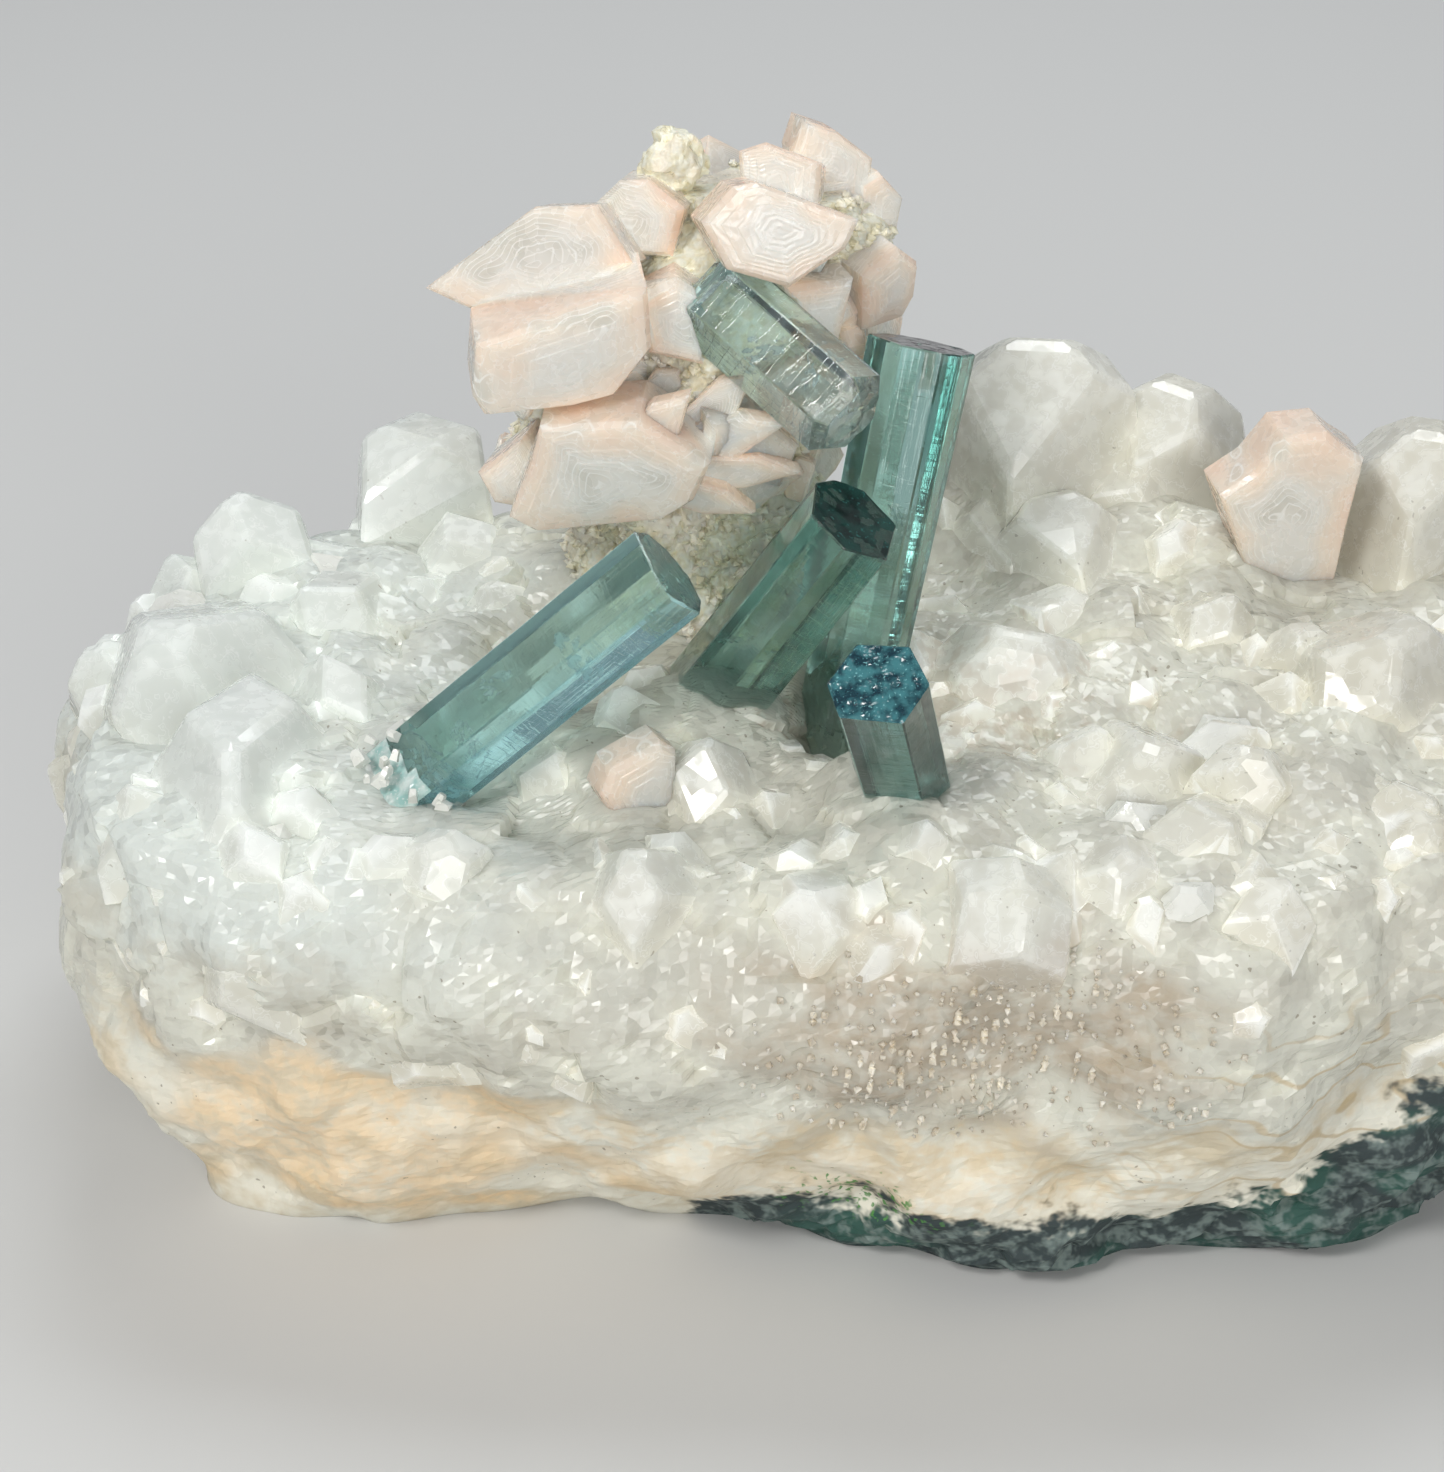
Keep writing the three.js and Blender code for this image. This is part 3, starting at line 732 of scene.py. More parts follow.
def build_specks(tree: Tree, given: Any) -> Sockets:
    """Gives small dots at the peaks of a fine noise, gathered where the given broad noise is high.

    Args:
        tree: The group's tree.
        given: The group's inputs.

    Returns:
        The outputs.
    """
    fine = tree.noise(given["Vector"], 0.42, 0.0)
    peak = tree.sum(fine, tree.times(given["Noise"], 0.45))
    limit = tree.calc("SUBTRACT", 1.24, tree.times(given["Amount"], 0.25))
    return (tree.rise(tree.calc("SUBTRACT", peak, limit), 0.0, 0.03),)


def build_edge_frost_highlight(tree: Tree, given: Any) -> Sockets:
    """Gives a mask of frosted edges that are lightened as a painted highlight: how sharply the surface turns
    outwards, broken by the given noise.

    Args:
        tree: The group's tree.
        given: The group's inputs.

    Returns:
        The outputs.
    """
    sharp = tree.add("NewGeometry").outputs["Pointiness"]
    broken = tree.times(given["Noise"], 0.06)
    return (tree.times(tree.rise(tree.sum(sharp, broken), 0.545, 0.62), given["Amount"]),)


VECTOR, FLOAT = "NodeSocketVector", "NodeSocketFloat"
GROUP_PLANS: dict[SharedGroup, tuple[Callable[..., Sockets], dict[str, tuple[str, Any]], tuple[str, ...]]] = {
    SharedGroup.PATCH: (
        build_patch,
        {
            "Vector": (VECTOR, None),
            "Centre": (VECTOR, (0.0, 0.0, 0.0)),
            "Reach": (VECTOR, (5.0, 5.0, 5.0)),
            "Noise": (FLOAT, 0.5),
            "Ragged": (FLOAT, 1.0),
        },
        ("Mask",),
    ),
    SharedGroup.MILK: (
        build_milk,
        {"Vector": (VECTOR, None), "Size": (VECTOR, (6.0, 6.0, 6.0))},
        ("Cloud", "Frost"),
    ),
    SharedGroup.SUGAR: (
        build_sugar,
        {"Vector": (VECTOR, None), "Size": (VECTOR, (0.6, 0.6, 0.6))},
        ("Height",),
    ),
    SharedGroup.SPECKS: (
        build_specks,
        {"Vector": (VECTOR, None), "Noise": (FLOAT, 0.5), "Amount": (FLOAT, 0.5)},
        ("Mask",),
    ),
    SharedGroup.WEAR: (build_edge_frost_highlight, {"Noise": (FLOAT, 0.5), "Amount": (FLOAT, 0.5)}, ("Mask",)),
}


# Finishes


@dataclass(frozen=True)
class Finish:
    """A finish that becomes one material, however many pieces wear it."""

    name: str

    def material(self) -> bpy.types.Material:
        """Gives the material, made at its first use.

        Returns:
            The material.
        """
        if self.name in bpy.data.materials:
            return bpy.data.materials[self.name]
        made = bpy.data.materials.new(self.name)
        made.use_nodes = True
        tree = Tree(made.node_tree)
        surface, volume = self.dress(tree, tree.place())
        out = tree.add("OutputMaterial", {"Surface": surface})
        if volume is not None:
            tree.feed(out.inputs["Volume"], volume)
        return made

    def dress(self, tree: Tree, at: Socket) -> tuple[Socket, Socket | None]:
        """Builds the surface and the volume of the material.

        Args:
            tree: The material's tree.
            at: The place on the piece in millimetres.

        Returns:
            The surface shader and the volume shader, which may be None.
        """
        raise NotImplementedError


@dataclass(frozen=True)
class PlainFinish(Finish):
    """A plain matt surface, for the stand."""

    colour: Colour

    def dress(self, tree: Tree, at: Socket) -> tuple[Socket, None]:
        """Builds one matt colour."""
        return tree.add("BsdfDiffuse", {"Color": self.colour}).outputs[0], None


@dataclass(frozen=True)
class CrustFinish(Finish):
    """Milky crystal: light sinks in and scatters under glassy faces that frost dulls in places."""

    clear: Colour = (0.60, 0.59, 0.52)
    milk: Colour = (0.65, 0.65, 0.57)
    cool: Colour = (0.64, 0.69, 0.66)
    warm: Colour = (0.58, 0.55, 0.45)
    tan: Colour = (0.46, 0.38, 0.29)
    speck: Colour = (0.20, 0.17, 0.12)
    worn: Colour = (0.90, 0.92, 0.91)
    glint: Colour = (0.86, 0.88, 0.85)
    thread: Colour = (0.92, 0.93, 0.91)
    scatter: float = 2.8
    gloss: float = 0.10

    def dress(self, tree: Tree, at: Socket) -> tuple[Socket, None]:
        """Builds milk clouds in clearer crystal, cooler to the left and warmer low down, with fine frost, a
        darker tan patch with painted shade among the prism feet, edges lightened as a painted highlight and
        facets lightened as painted glints.

        Args:
            tree: The material's tree.
            at: The place in millimetres.

        Returns:
            The surface and the volume.
        """
        x, _, z = tree.split(at)
        cloud, frost = tree.milk(at, 6.5, 6.5, 6.5)
        mixed = tree.sum(cloud, tree.times(frost, 0.6))
        base = tree.blend(tree.rise(mixed, 0.62, 0.98), self.clear, self.milk)
        drift = tree.sum(x, tree.times(cloud, 34.0))
        base = tree.blend(tree.rise(drift, 6.0, -26.0, 0.0, 0.8), base, self.cool)
        low = tree.sum(z, tree.times(mixed, 9.0))
        base = tree.blend(tree.rise(low, 44.0, 30.0, 0.0, 0.75), base, self.warm)
        east = tree.rise(drift, 30.0, 52.0, 0.0, 0.6)
        base = tree.blend(east, base, self.warm)
        tan = tree.patch(at, (8.0, -31.0, 23.0), (18.0, 14.0, 10.0), cloud, 1.2)
        base = tree.blend(tree.times(tan, 0.55), base, self.tan)
        # A darker tan patch among the prism feet: tan sugar, deepened as painted shade.
        tan_and_shade = tree.patch(at, (7.0, -2.0, 32.5), (19.0, 10.0, 5.5), frost, 2.4)
        base = tree.blend(tree.times(tan_and_shade, 0.45), base, self.tan)
        specks = tree.use(SharedGroup.SPECKS, "Mask", Vector=at, Noise=cloud, Amount=0.62)
        base = tree.blend(tree.times(specks, 0.6), base, self.speck)
        # Sharp edges are lightened towards white: partly real frost, partly a painted highlight.
        edge_frost_highlight = tree.use(SharedGroup.WEAR, "Mask", Noise=frost, Amount=0.5)
        base = tree.blend(edge_frost_highlight, base, self.worn)
        # Each facet cell takes a random share of a lighter colour: painted glints, over facets whose tilt is
        # real relief.
        tone, normal = tree.shards(at, 3.4, 0.16)
        base = tree.blend(tree.times(tone, 0.16), base, self.glint)
        base = tree.blend(tree.thread(frost, 0.018), base, self.thread)
        rough = tree.rise(frost, 0.44, 0.64, self.gloss, 0.42)
        return tree.milky((base, rough, CRUST_IOR, normal), 1.0, self.scatter, (1.0, 0.97, 0.9)), None


@dataclass(frozen=True)
class RockFinish(Finish):
    """The slab: grey-white rock over a chalky cream band, stained peach, tan and, low down, green-black."""

    upper: Colour = (0.54, 0.53, 0.46)
    upper_milk: Colour = (0.62, 0.62, 0.54)
    cool: Colour = (0.64, 0.69, 0.66)
    chalk: Colour = (0.74, 0.72, 0.62)
    chalk_deep: Colour = (0.60, 0.53, 0.39)
    stain: Colour = (0.84, 0.58, 0.30)
    sugar: Colour = (0.45, 0.38, 0.29)
    vein: Colour = (0.46, 0.34, 0.17)
    rind: Colour = (0.030, 0.045, 0.047)
    green: Colour = (0.022, 0.085, 0.065)
    frost: Colour = (0.17, 0.22, 0.205)
    speck: Colour = (0.18, 0.15, 0.10)
    vivid: Colour = (0.07, 0.24, 0.05)
    scatter: float = 2.4

    def dress(self, tree: Tree, at: Socket) -> tuple[Socket, None]:
        """Builds the zones by height and place, each with a ragged edge, over fine grain.

        Args:
            tree: The material's tree.
            at: The place in millimetres.

        Returns:
            The surface and the volume.
        """
        x, _, z = tree.split(at)
        cloud, fine = tree.milk(at, 7.0, 7.0, 5.0)
        mixed = tree.sum(cloud, tree.times(fine, 0.6))
        base = tree.blend(tree.rise(mixed, 0.65, 0.95), self.upper, self.upper_milk)
        drift = tree.sum(x, tree.times(cloud, 34.0))
        level = tree.sum(z, tree.times(mixed, 10.0))
        cool = tree.times(tree.rise(drift, 6.0, -26.0, 0.0, 0.8), tree.rise(level, 30.0, 38.0))
        base = tree.blend(cool, base, self.cool)
        # A darker tan patch among the prism feet: tan sugar, deepened as painted shade.
        tan_and_shade = tree.patch(at, (6.0, -4.0, 31.5), (17.0, 8.0, 5.0), fine, 2.4)
        base = tree.blend(tree.times(tan_and_shade, 0.5), base, self.sugar)
        chalk = tree.blend(tree.rise(mixed, 0.55, 0.95), self.chalk_deep, self.chalk)
        base = tree.blend(tree.rise(level, 27.0, 21.0), base, chalk)
        stain = tree.patch(at, (-35.0, -24.0, 10.5), (20.0, 16.0, 8.5), cloud, 1.8)
        base = tree.blend(tree.times(stain, tree.rise(fine, 0.35, 0.65, 0.15, 0.55)), base, self.stain)
        tinge = tree.patch(at, (-6.0, -28.0, 10.0), (26.0, 14.0, 4.5), fine, 3.0)
        base = tree.blend(tree.times(tinge, 0.16), base, self.stain)
        sugar = tree.patch(at, (8.0, -31.0, 24.0), (16.5, 14.0, 9.0), cloud, 1.6)
        base = tree.blend(tree.times(sugar, tree.rise(fine, 0.3, 0.62, 0.25, 0.85)), base, self.sugar)
        bent = tree.sum(z, tree.times(cloud, 13.0))
        wave = tree.calc("SINE", tree.times(bent, 1.6))
        lines = tree.times(tree.rise(wave, 0.86, 1.0), tree.rise(x, 12.0, 32.0))
        base = tree.blend(tree.times(tree.times(lines, tree.rise(z, 30.0, 20.0)), 0.6), base, self.vein)
        specks = tree.use(SharedGroup.SPECKS, "Mask", Vector=at, Noise=cloud, Amount=0.62)
        base = tree.blend(tree.times(specks, 0.6), base, self.speck)
        grain = tree.noise(at, 0.55, 1.0)
        top = tree.sum(tree.rise(x, -15.0, -6.0, -3.0, 6.0), tree.rise(x, 22.0, 46.0, 0.0, 10.0))
        rough = tree.times(tree.calc("SUBTRACT", mixed, 0.8), 11.0)
        rind = tree.rise(tree.sum(tree.calc("SUBTRACT", z, top), rough), 1.2, -0.8)
        dark = tree.blend(tree.rise(cloud, 0.46, 0.62, 0.0, 0.8), self.rind, self.green)
        frosted = tree.sum(grain, tree.times(fine, 2.4))
        dark = tree.blend(tree.rise(frosted, 1.5, 2.2, 0.0, 0.85), dark, self.frost)
        base = tree.blend(rind, base, dark)
        vivid = tree.patch(at, (1.0, -28.0, 7.0), (6.0, 9.0, 3.0), fine, 2.5)
        dots = tree.times(vivid, tree.rise(grain, 0.56, 0.64))
        base = tree.blend(tree.times(dots, 0.9), base, self.vivid)
        _, normal = tree.shards(at, 0.8, tree.rise(level, 21.0, 27.0, 0.12, 0.5))
        rough = tree.rise(level, 27.0, 21.0, 0.26, 0.75)
        return tree.milky((base, rough, ROCK_IOR, normal), 0.6, self.scatter, (1.0, 0.9, 0.75)), None


@dataclass(frozen=True)
class GlassyFinish(Finish):
    """Clear crystal of the crust: almost colourless, with frosted patches."""

    colour: Colour = (0.93, 0.94, 0.89)
    milk: Colour = (0.84, 0.85, 0.79)
    clarity: float = 0.2

    def dress(self, tree: Tree, at: Socket) -> tuple[Socket, None]:
        """Builds see-through crystal under faces that frost dulls in places.

        Args:
            tree: The material's tree.
            at: The place in millimetres.

        Returns:
            The surface and the volume.
        """
        frost = tree.use(SharedGroup.MILK, "Frost", Vector=at, Size=(7.0, 7.0, 7.0))
        base = tree.blend(tree.rise(frost, 0.45, 0.62), self.colour, self.milk)
        normal = tree.bump(tree.noise(at, 0.9, 2.0), 0.14, 0.5)
        inputs = {
            "Base Color": base,
            "Roughness": tree.rise(frost, 0.46, 0.64, 0.06, 0.36),
            "IOR": CRUST_IOR,
            "Normal": normal,
            "Transmission Weight": self.clarity,
        }
        return tree.add("BsdfPrincipled", inputs, subsurface_method="BURLEY").outputs[0], None


@dataclass(frozen=True)
class BerylFinish(Finish):
    """Aquamarine: clear, coloured by how far light runs in it, with lines of growth along the prism, some
    facets tinted as painted light and shade, and edges lightened as a painted highlight.
    """

    absorb: Colour
    density: float
    axes: tuple[Point, Point, Point]
    start: Point
    tint: Colour = (0.80, 0.97, 0.95)
    worn: Colour = (0.80, 0.95, 0.94)
    # Facets tinted as painted light and shade: heading in degrees, distance from the axis and tint.
    facets: tuple[tuple[float, float, Colour], ...] = ()
    clarity: float = 0.96
    gloss: float = 0.02
    lines: float = 0.35

    def dress(self, tree: Tree, at: Socket) -> tuple[Socket, Socket]:
        """Builds clear crystal whose growth lines follow its own length, with tinted facets as painted light
        and shade and lighter edges as a painted highlight.

        Args:
            tree: The material's tree.
            at: The place in millimetres.

        Returns:
            The surface and the volume.
        """
        turned = Matrix(self.axes).to_euler("XYZ")
        inputs = {"Vector": at, "Location": self.start, "Rotation": turned}
        own = tree.add("Mapping", inputs, vector_type="TEXTURE").outputs[0]
        drawn = tree.vector("MULTIPLY", own, (3.2, 3.2, 0.09))
        growth = tree.noise(drawn, 1.0, 3.0)
        flats = tree.vector("MULTIPLY", own, (0.25, 0.25, 1.6))
        steps = tree.rise(tree.noise(flats, 1.0, 2.0), 0.50, 0.56, 0.0, 0.3)
        normal = tree.bump(tree.sum(growth, steps), 0.07, self.lines)
        scuffs = tree.noise(own, 1.2, 3.0)
        # Sharp edges are rougher and lighter: real frost plus a painted highlight.
        edge_frost_highlight = tree.use(SharedGroup.WEAR, "Mask", Noise=scuffs, Amount=0.8)
        rough = tree.sum(tree.rise(scuffs, 0.56, 0.70, self.gloss, 0.20), tree.times(edge_frost_highlight, 0.25))
        tint: Any = self.tint
        # Each listed facet takes its own tint, lighter or darker: painted light and shade.
        for heading, reach, colour in self.facets:
            facing = (math.cos(math.radians(heading)), math.sin(math.radians(heading)), 0.0)
            out = tree.add("VectorMath", {0: own, 1: facing}, operation="DOT_PRODUCT").outputs["Value"]
            tint = tree.blend(tree.rise(out, reach - 0.22, reach - 0.1), tint, colour)
        inputs = {
            "Base Color": tree.blend(edge_frost_highlight, tint, self.worn),
            "Roughness": rough,
            "IOR": BERYL_IOR,
            "Normal": normal,
            "Transmission Weight": self.clarity,
        }
        volume = tree.add("VolumeAbsorption", {"Color": self.absorb, "Density": self.density}).outputs[0]
        return tree.add("BsdfPrincipled", inputs).outputs[0], volume


@dataclass(frozen=True)
class EtchedFinish(Finish):
    """The end of a blue crystal, where the whole length of it shows: deep, with painted sparkles, smooth or
    etched.
    """

    dark: Colour
    light: Colour
    spark: Colour
    relief: float = 0.22
    clarity: float = 0.2
    size: float = 1.0

    def dress(self, tree: Tree, at: Socket) -> tuple[Socket, None]:
        """Builds small glossy pits and hillocks of mixed blues, with light dots as painted sparkles.

        Args:
            tree: The material's tree.
            at: The place in millimetres.

        Returns:
            The surface and the volume.
        """
        pits = tree.add("TexVoronoi", {"Vector": at, "Scale": 1.1 / self.size}, feature="F1")
        mixed = tree.blend(tree.rise(tree.noise(at, 1.4 * self.size, 4.0), 0.35, 0.65), self.dark, self.light)
        # Light dots at the peaks of a fine noise: painted sparkles.
        painted_sparkle_mask = tree.rise(tree.noise(at, 0.3 * self.size, 1.0), 0.62, 0.74, 0.0, 0.8)
        base = tree.blend(painted_sparkle_mask, mixed, self.spark)
        inputs = {
            "Base Color": base,
            "Roughness": 0.15,
            "IOR": BERYL_IOR,
            "Normal": tree.bump(pits.outputs["Distance"], self.relief, 0.6),
            "Transmission Weight": self.clarity,
        }
        return tree.add("BsdfPrincipled", inputs, subsurface_method="BURLEY").outputs[0], None


@dataclass(frozen=True)
class VeilFinish(Finish):
    """A healed crack: a thin skin of tiny bubbles that shows white where they crowd and is clear between."""

    white: Colour = (0.80, 0.92, 0.90)

    def dress(self, tree: Tree, at: Socket) -> tuple[Socket, None]:
        """Builds flecks of white on a see-through skin.

        Args:
            tree: The material's tree.
            at: The place in millimetres.

        Returns:
            The surface and the volume.
        """
        flecks = tree.rise(tree.noise(at, 0.9, 3.0), 0.47, 0.62, 0.03, 0.55)
        inputs = {"Base Color": self.white, "Roughness": 0.45, "IOR": 1.4, "Alpha": flecks}
        return tree.add("BsdfPrincipled", inputs).outputs[0], None


@dataclass(frozen=True)
class BladeFinish(Finish):
    """Peach blade: pearly, white and half clear in the middle of a face and peach towards its rim."""

    peach: Colour = (0.77, 0.58, 0.46)
    pale: Colour = (0.73, 0.64, 0.54)
    white: Colour = (0.69, 0.67, 0.62)
    clear: Colour = (0.54, 0.52, 0.46)
    line: Colour = (0.90, 0.90, 0.88)
    thread: Colour = (0.92, 0.91, 0.89)
    scatter: float = 3.0

    def dress(self, tree: Tree, at: Socket) -> tuple[Socket, None]:
        """Builds peach towards the rim and white inside it, with growth lines that follow the rim.

        Args:
            tree: The material's tree.
            at: The place in millimetres.

        Returns:
            The surface and the volume.
        """
        rim = tree.add("Attribute", attribute_name="rim").outputs["Fac"]
        cloud, frost = tree.milk(at, 4.5, 4.5, 4.5)
        reach = tree.sum(rim, tree.times(tree.calc("SUBTRACT", cloud, 0.5), 1.5))
        base = tree.blend(tree.rise(reach, 0.35, 0.95), self.white, self.pale)
        base = tree.blend(tree.rise(reach, 0.70, 1.40, 0.0, 0.9), base, self.peach)
        base = tree.blend(tree.rise(cloud, 0.47, 0.30, 0.0, 0.8), base, self.clear)
        wave = tree.calc("SINE", tree.times(tree.sum(rim, tree.times(cloud, 1.3)), 55.0))
        lines = tree.times(tree.rise(wave, 0.75, 1.0), tree.rise(cloud, 0.52, 0.36, 0.05, 0.5))
        base = tree.blend(lines, base, self.line)
        base = tree.blend(tree.thread(frost, 0.02), base, self.thread)
        normal = tree.bump(tree.sum(wave, tree.times(frost, 3.0)), 0.02, 0.4)
        rough = tree.rise(frost, 0.42, 0.62, 0.16, 0.45)
        return tree.milky((base, rough, ROCK_IOR, normal), 1.0, self.scatter, (1.0, 0.72, 0.52)), None


@dataclass(frozen=True)
class DruseFinish(Finish):
    """Sugary skin of tiny crystals, for the core of the sheaf and for loose grains."""

    pale: Colour
    deep: Colour
    tuft: Colour
    scatter: float = 0.9

    def dress(self, tree: Tree, at: Socket) -> tuple[Socket, None]:
        """Builds patches of three colours over packed glittering grains.

        Args:
            tree: The material's tree.
            at: The place in millimetres.

        Returns:
            The surface and the volume.
        """
        cloud, frost = tree.milk(at, 4.0, 4.0, 4.0)
        base = tree.blend(tree.rise(frost, 0.4, 0.62), self.deep, self.pale)
        base = tree.blend(tree.rise(cloud, 0.50, 0.62, 0.0, 0.75), base, self.tuft)
        grain = tree.use(SharedGroup.SUGAR, "Height", Vector=at, Size=(0.45, 0.45, 0.45))
        normal = tree.bump(grain, 0.14, 0.6)
        rough = tree.rise(frost, 0.35, 0.6, 0.15, 0.6)
        return tree.milky((base, rough, CORE_IOR, normal), 0.8, self.scatter, (1.0, 0.85, 0.6)), None


CRUST = CrustFinish("Milky crust")
ROCK = RockFinish("Slab rock")
GLASSY = GlassyFinish("Clear crust")
BLADE = BladeFinish("Peach blade")
CORE = DruseFinish(
    "Sheaf core", pale=(0.80, 0.80, 0.69), deep=(0.76, 0.72, 0.54), tuft=(0.84, 0.77, 0.66)
)
GRAINS = DruseFinish(
    "Sugar grains", pale=(0.68, 0.63, 0.53), deep=(0.50, 0.43, 0.33), tuft=(0.76, 0.72, 0.63)
)
CREAM = DruseFinish(
    "Cream grains", pale=(0.80, 0.77, 0.66), deep=(0.66, 0.62, 0.46), tuft=(0.84, 0.80, 0.74)
)
ETCHED = EtchedFinish(
    "Etched end",
    dark=(0.003, 0.035, 0.055),
    light=(0.05, 0.21, 0.24),
    spark=(0.22, 0.52, 0.55),
    relief=0.14,
    size=0.6,
)
DEEP_END = EtchedFinish(
    "Deep green end",
    dark=(0.002, 0.012, 0.010),
    light=(0.007, 0.055, 0.045),
    spark=(0.03, 0.14, 0.13),
    relief=0.05,
    clarity=0.15,
)
TEAL_END = EtchedFinish(
    "Teal end",
    dark=(0.02, 0.12, 0.12),
    light=(0.08, 0.30, 0.30),
    spark=(0.30, 0.62, 0.66),
    relief=0.10,
    clarity=0.4,
)
ROSY_END = EtchedFinish(
    "Rosy grey end",
    dark=(0.05, 0.05, 0.055),
    light=(0.16, 0.14, 0.15),
    spark=(0.30, 0.34, 0.34),
    relief=0.04,
    clarity=0.2,
)
CRUSHED = EtchedFinish(
    "Crushed foot",
    dark=(0.40, 0.66, 0.63),
    light=(0.78, 0.88, 0.85),
    spark=(0.93, 0.97, 0.96),
    relief=0.30,
    clarity=0.25,
    size=0.8,
)
VEIL = VeilFinish("Healed crack")


# The slab

TAN_X, TAN_Z = 9.0, 23.0


@dataclass(frozen=True)
class Mound:
    """A rise or hollow of the crown: rise times exp(-(distance / spread) squared)."""

    x: float
    y: float
    rise: float
    spread: float

    def at(self, points: Array) -> Array:
        """Gives what the mound adds to the crown's height at places in plan."""
        away = (points[..., 0] - self.x) ** 2 + (points[..., 1] - self.y) ** 2
        return self.rise * np.exp(-away / self.spread**2)


@dataclass(frozen=True)
class SlabForm:
    """The main form of the slab, between three outlines in plan and under a crown with mounds."""

    foot: Outline = (
        (50, 2), (46, 17), (33, 23), (14, 25.5), (-6, 25), (-26, 23), (-41, 17.5), (-46, 8),
        (-48, -5), (-47.5, -20.5), (-38, -22.6), (-22, -20.2),
        (-9, -22.5), (6, -26.6), (26, -25.6), (43.5, -20),
    )
    belly: Outline = (
        (61, 2), (57.4, 20), (40, 30.8), (18, 32.8), (-8, 32.6), (-32, 31.2), (-51, 24.6), (-59, 10),
        (-58.4, -6), (-51.5, -21), (-38, -28.6), (-20, -31), (-2, -32.5), (16, -33.5), (36, -31), (54, -21),
    )
    rim: Outline = (
        (57.4, 3), (53.4, 19.6), (38, 29), (18, 31), (-8, 31), (-32, 29.4), (-49, 22.8), (-56.6, 10),
        (-57, -4), (-51, -18), (-37, -24.5), (-20, -27), (-2, -28.5), (16, -29), (35, -27), (51, -18),
    )
    mounds: tuple[Mound, ...] = (
        Mound(24, 24, 4.5, 13),
        Mound(-11, 9, 2, 9),
        Mound(-10, -5, 2.6, 4.5),
        Mound(0.5, -7, -4.5, 4.5),
        Mound(40, -4, 1.5, 12),
        Mound(-46, 2, -1, 10),
    )
    middle: tuple[float, float] = (1.0, 1.0)
    rim_height: float = 32.0
    belly_level: float = 0.75
    crown_height: float = 35.0
    crown_slope: float = 0.08
    shoulder: float = 0.28
    broad: Swell = Swell(21, 0.9, 3)
    fine: Swell = Swell(9, 0.5, 11)

    @staticmethod
    def along(outline: Outline, turn: Array) -> Array:
        """Gives places on the smooth closed curve through an outline, by a cubic of two points on each side.

        Args:
            outline: The points in plan.
            turn: Where along the curve, from 0 to 1 once round.

        Returns:
            Points of shape (..., 3) at height 0.
        """
        knots = np.array([(x, y, 0.0) for x, y in outline])
        step = np.mod(turn, 1.0) * len(knots)
        first = np.floor(step).astype(int)
        t = (step - first)[..., None]
        a, b, c, d = (knots[(first + k) % len(knots)] for k in (-1, 0, 1, 2))
        start, end = (c - a) / 2.0, (d - b) / 2.0
        return b + start * t + (3 * (c - b) - 2 * start - end) * t**2 + (2 * (b - c) + start + end) * t**3

    def crown(self, points: Array) -> Array:
        """Gives the crown's height at places in plan: a slope up to the back, with every mound added."""
        mounds = sum(mound.at(points) for mound in self.mounds)
        return self.crown_height + self.crown_slope * points[..., 1] + mounds

    def surface(self, turn: Array, level: Array) -> Array:
        """Gives points of the slab's surface.

        The plan goes from foot to belly as 1 - (1 - q) squared, from belly to rim as q squared, and from the
        rim straight in to the middle. The height rises evenly to the rim and rounds over the shoulder.

        Args:
            turn: Once round the slab from 0 to 1.
            level: 0 at the foot, 1 at the rim and 2 at the middle of the crown.

        Returns:
            Points with three numbers in the last axis.
        """
        turn, level = np.broadcast_arrays(np.asarray(turn, float), np.asarray(level, float))
        foot, belly, rim = (self.along(outline, turn) for outline in (self.foot, self.belly, self.rim))
        middle = np.array([*self.middle, 0.0])
        up = (1.0 - (1.0 - np.clip(level / self.belly_level, 0, 1)) ** 2)[..., None]
        over = (np.clip((level - self.belly_level) / (1.0 - self.belly_level), 0, 1) ** 2)[..., None]
        inside = np.clip(2.0 - level, 0, 1)[..., None]
        below, above = foot + (belly - foot) * up, belly + (rim - belly) * over
        point = np.where((level <= self.belly_level)[..., None], below, above)
        point = np.where((level >= 1.0)[..., None], middle + (rim - middle) * inside, point)
        outward = unit(point - middle)
        inward = np.clip((level - 1.0) / self.shoulder, 0, 1)
        climb = (self.crown(point) - self.rim_height) * (1.0 - (1.0 - inward) ** 2)
        point[..., 2] = self.rim_height * np.minimum(level, 1.0) + climb
        bump = self.broad.at(point) + self.fine.at(point)
        point = point + outward * (bump * (1.0 - inward))[..., None]
        point[..., 2] += bump * inward
        return point


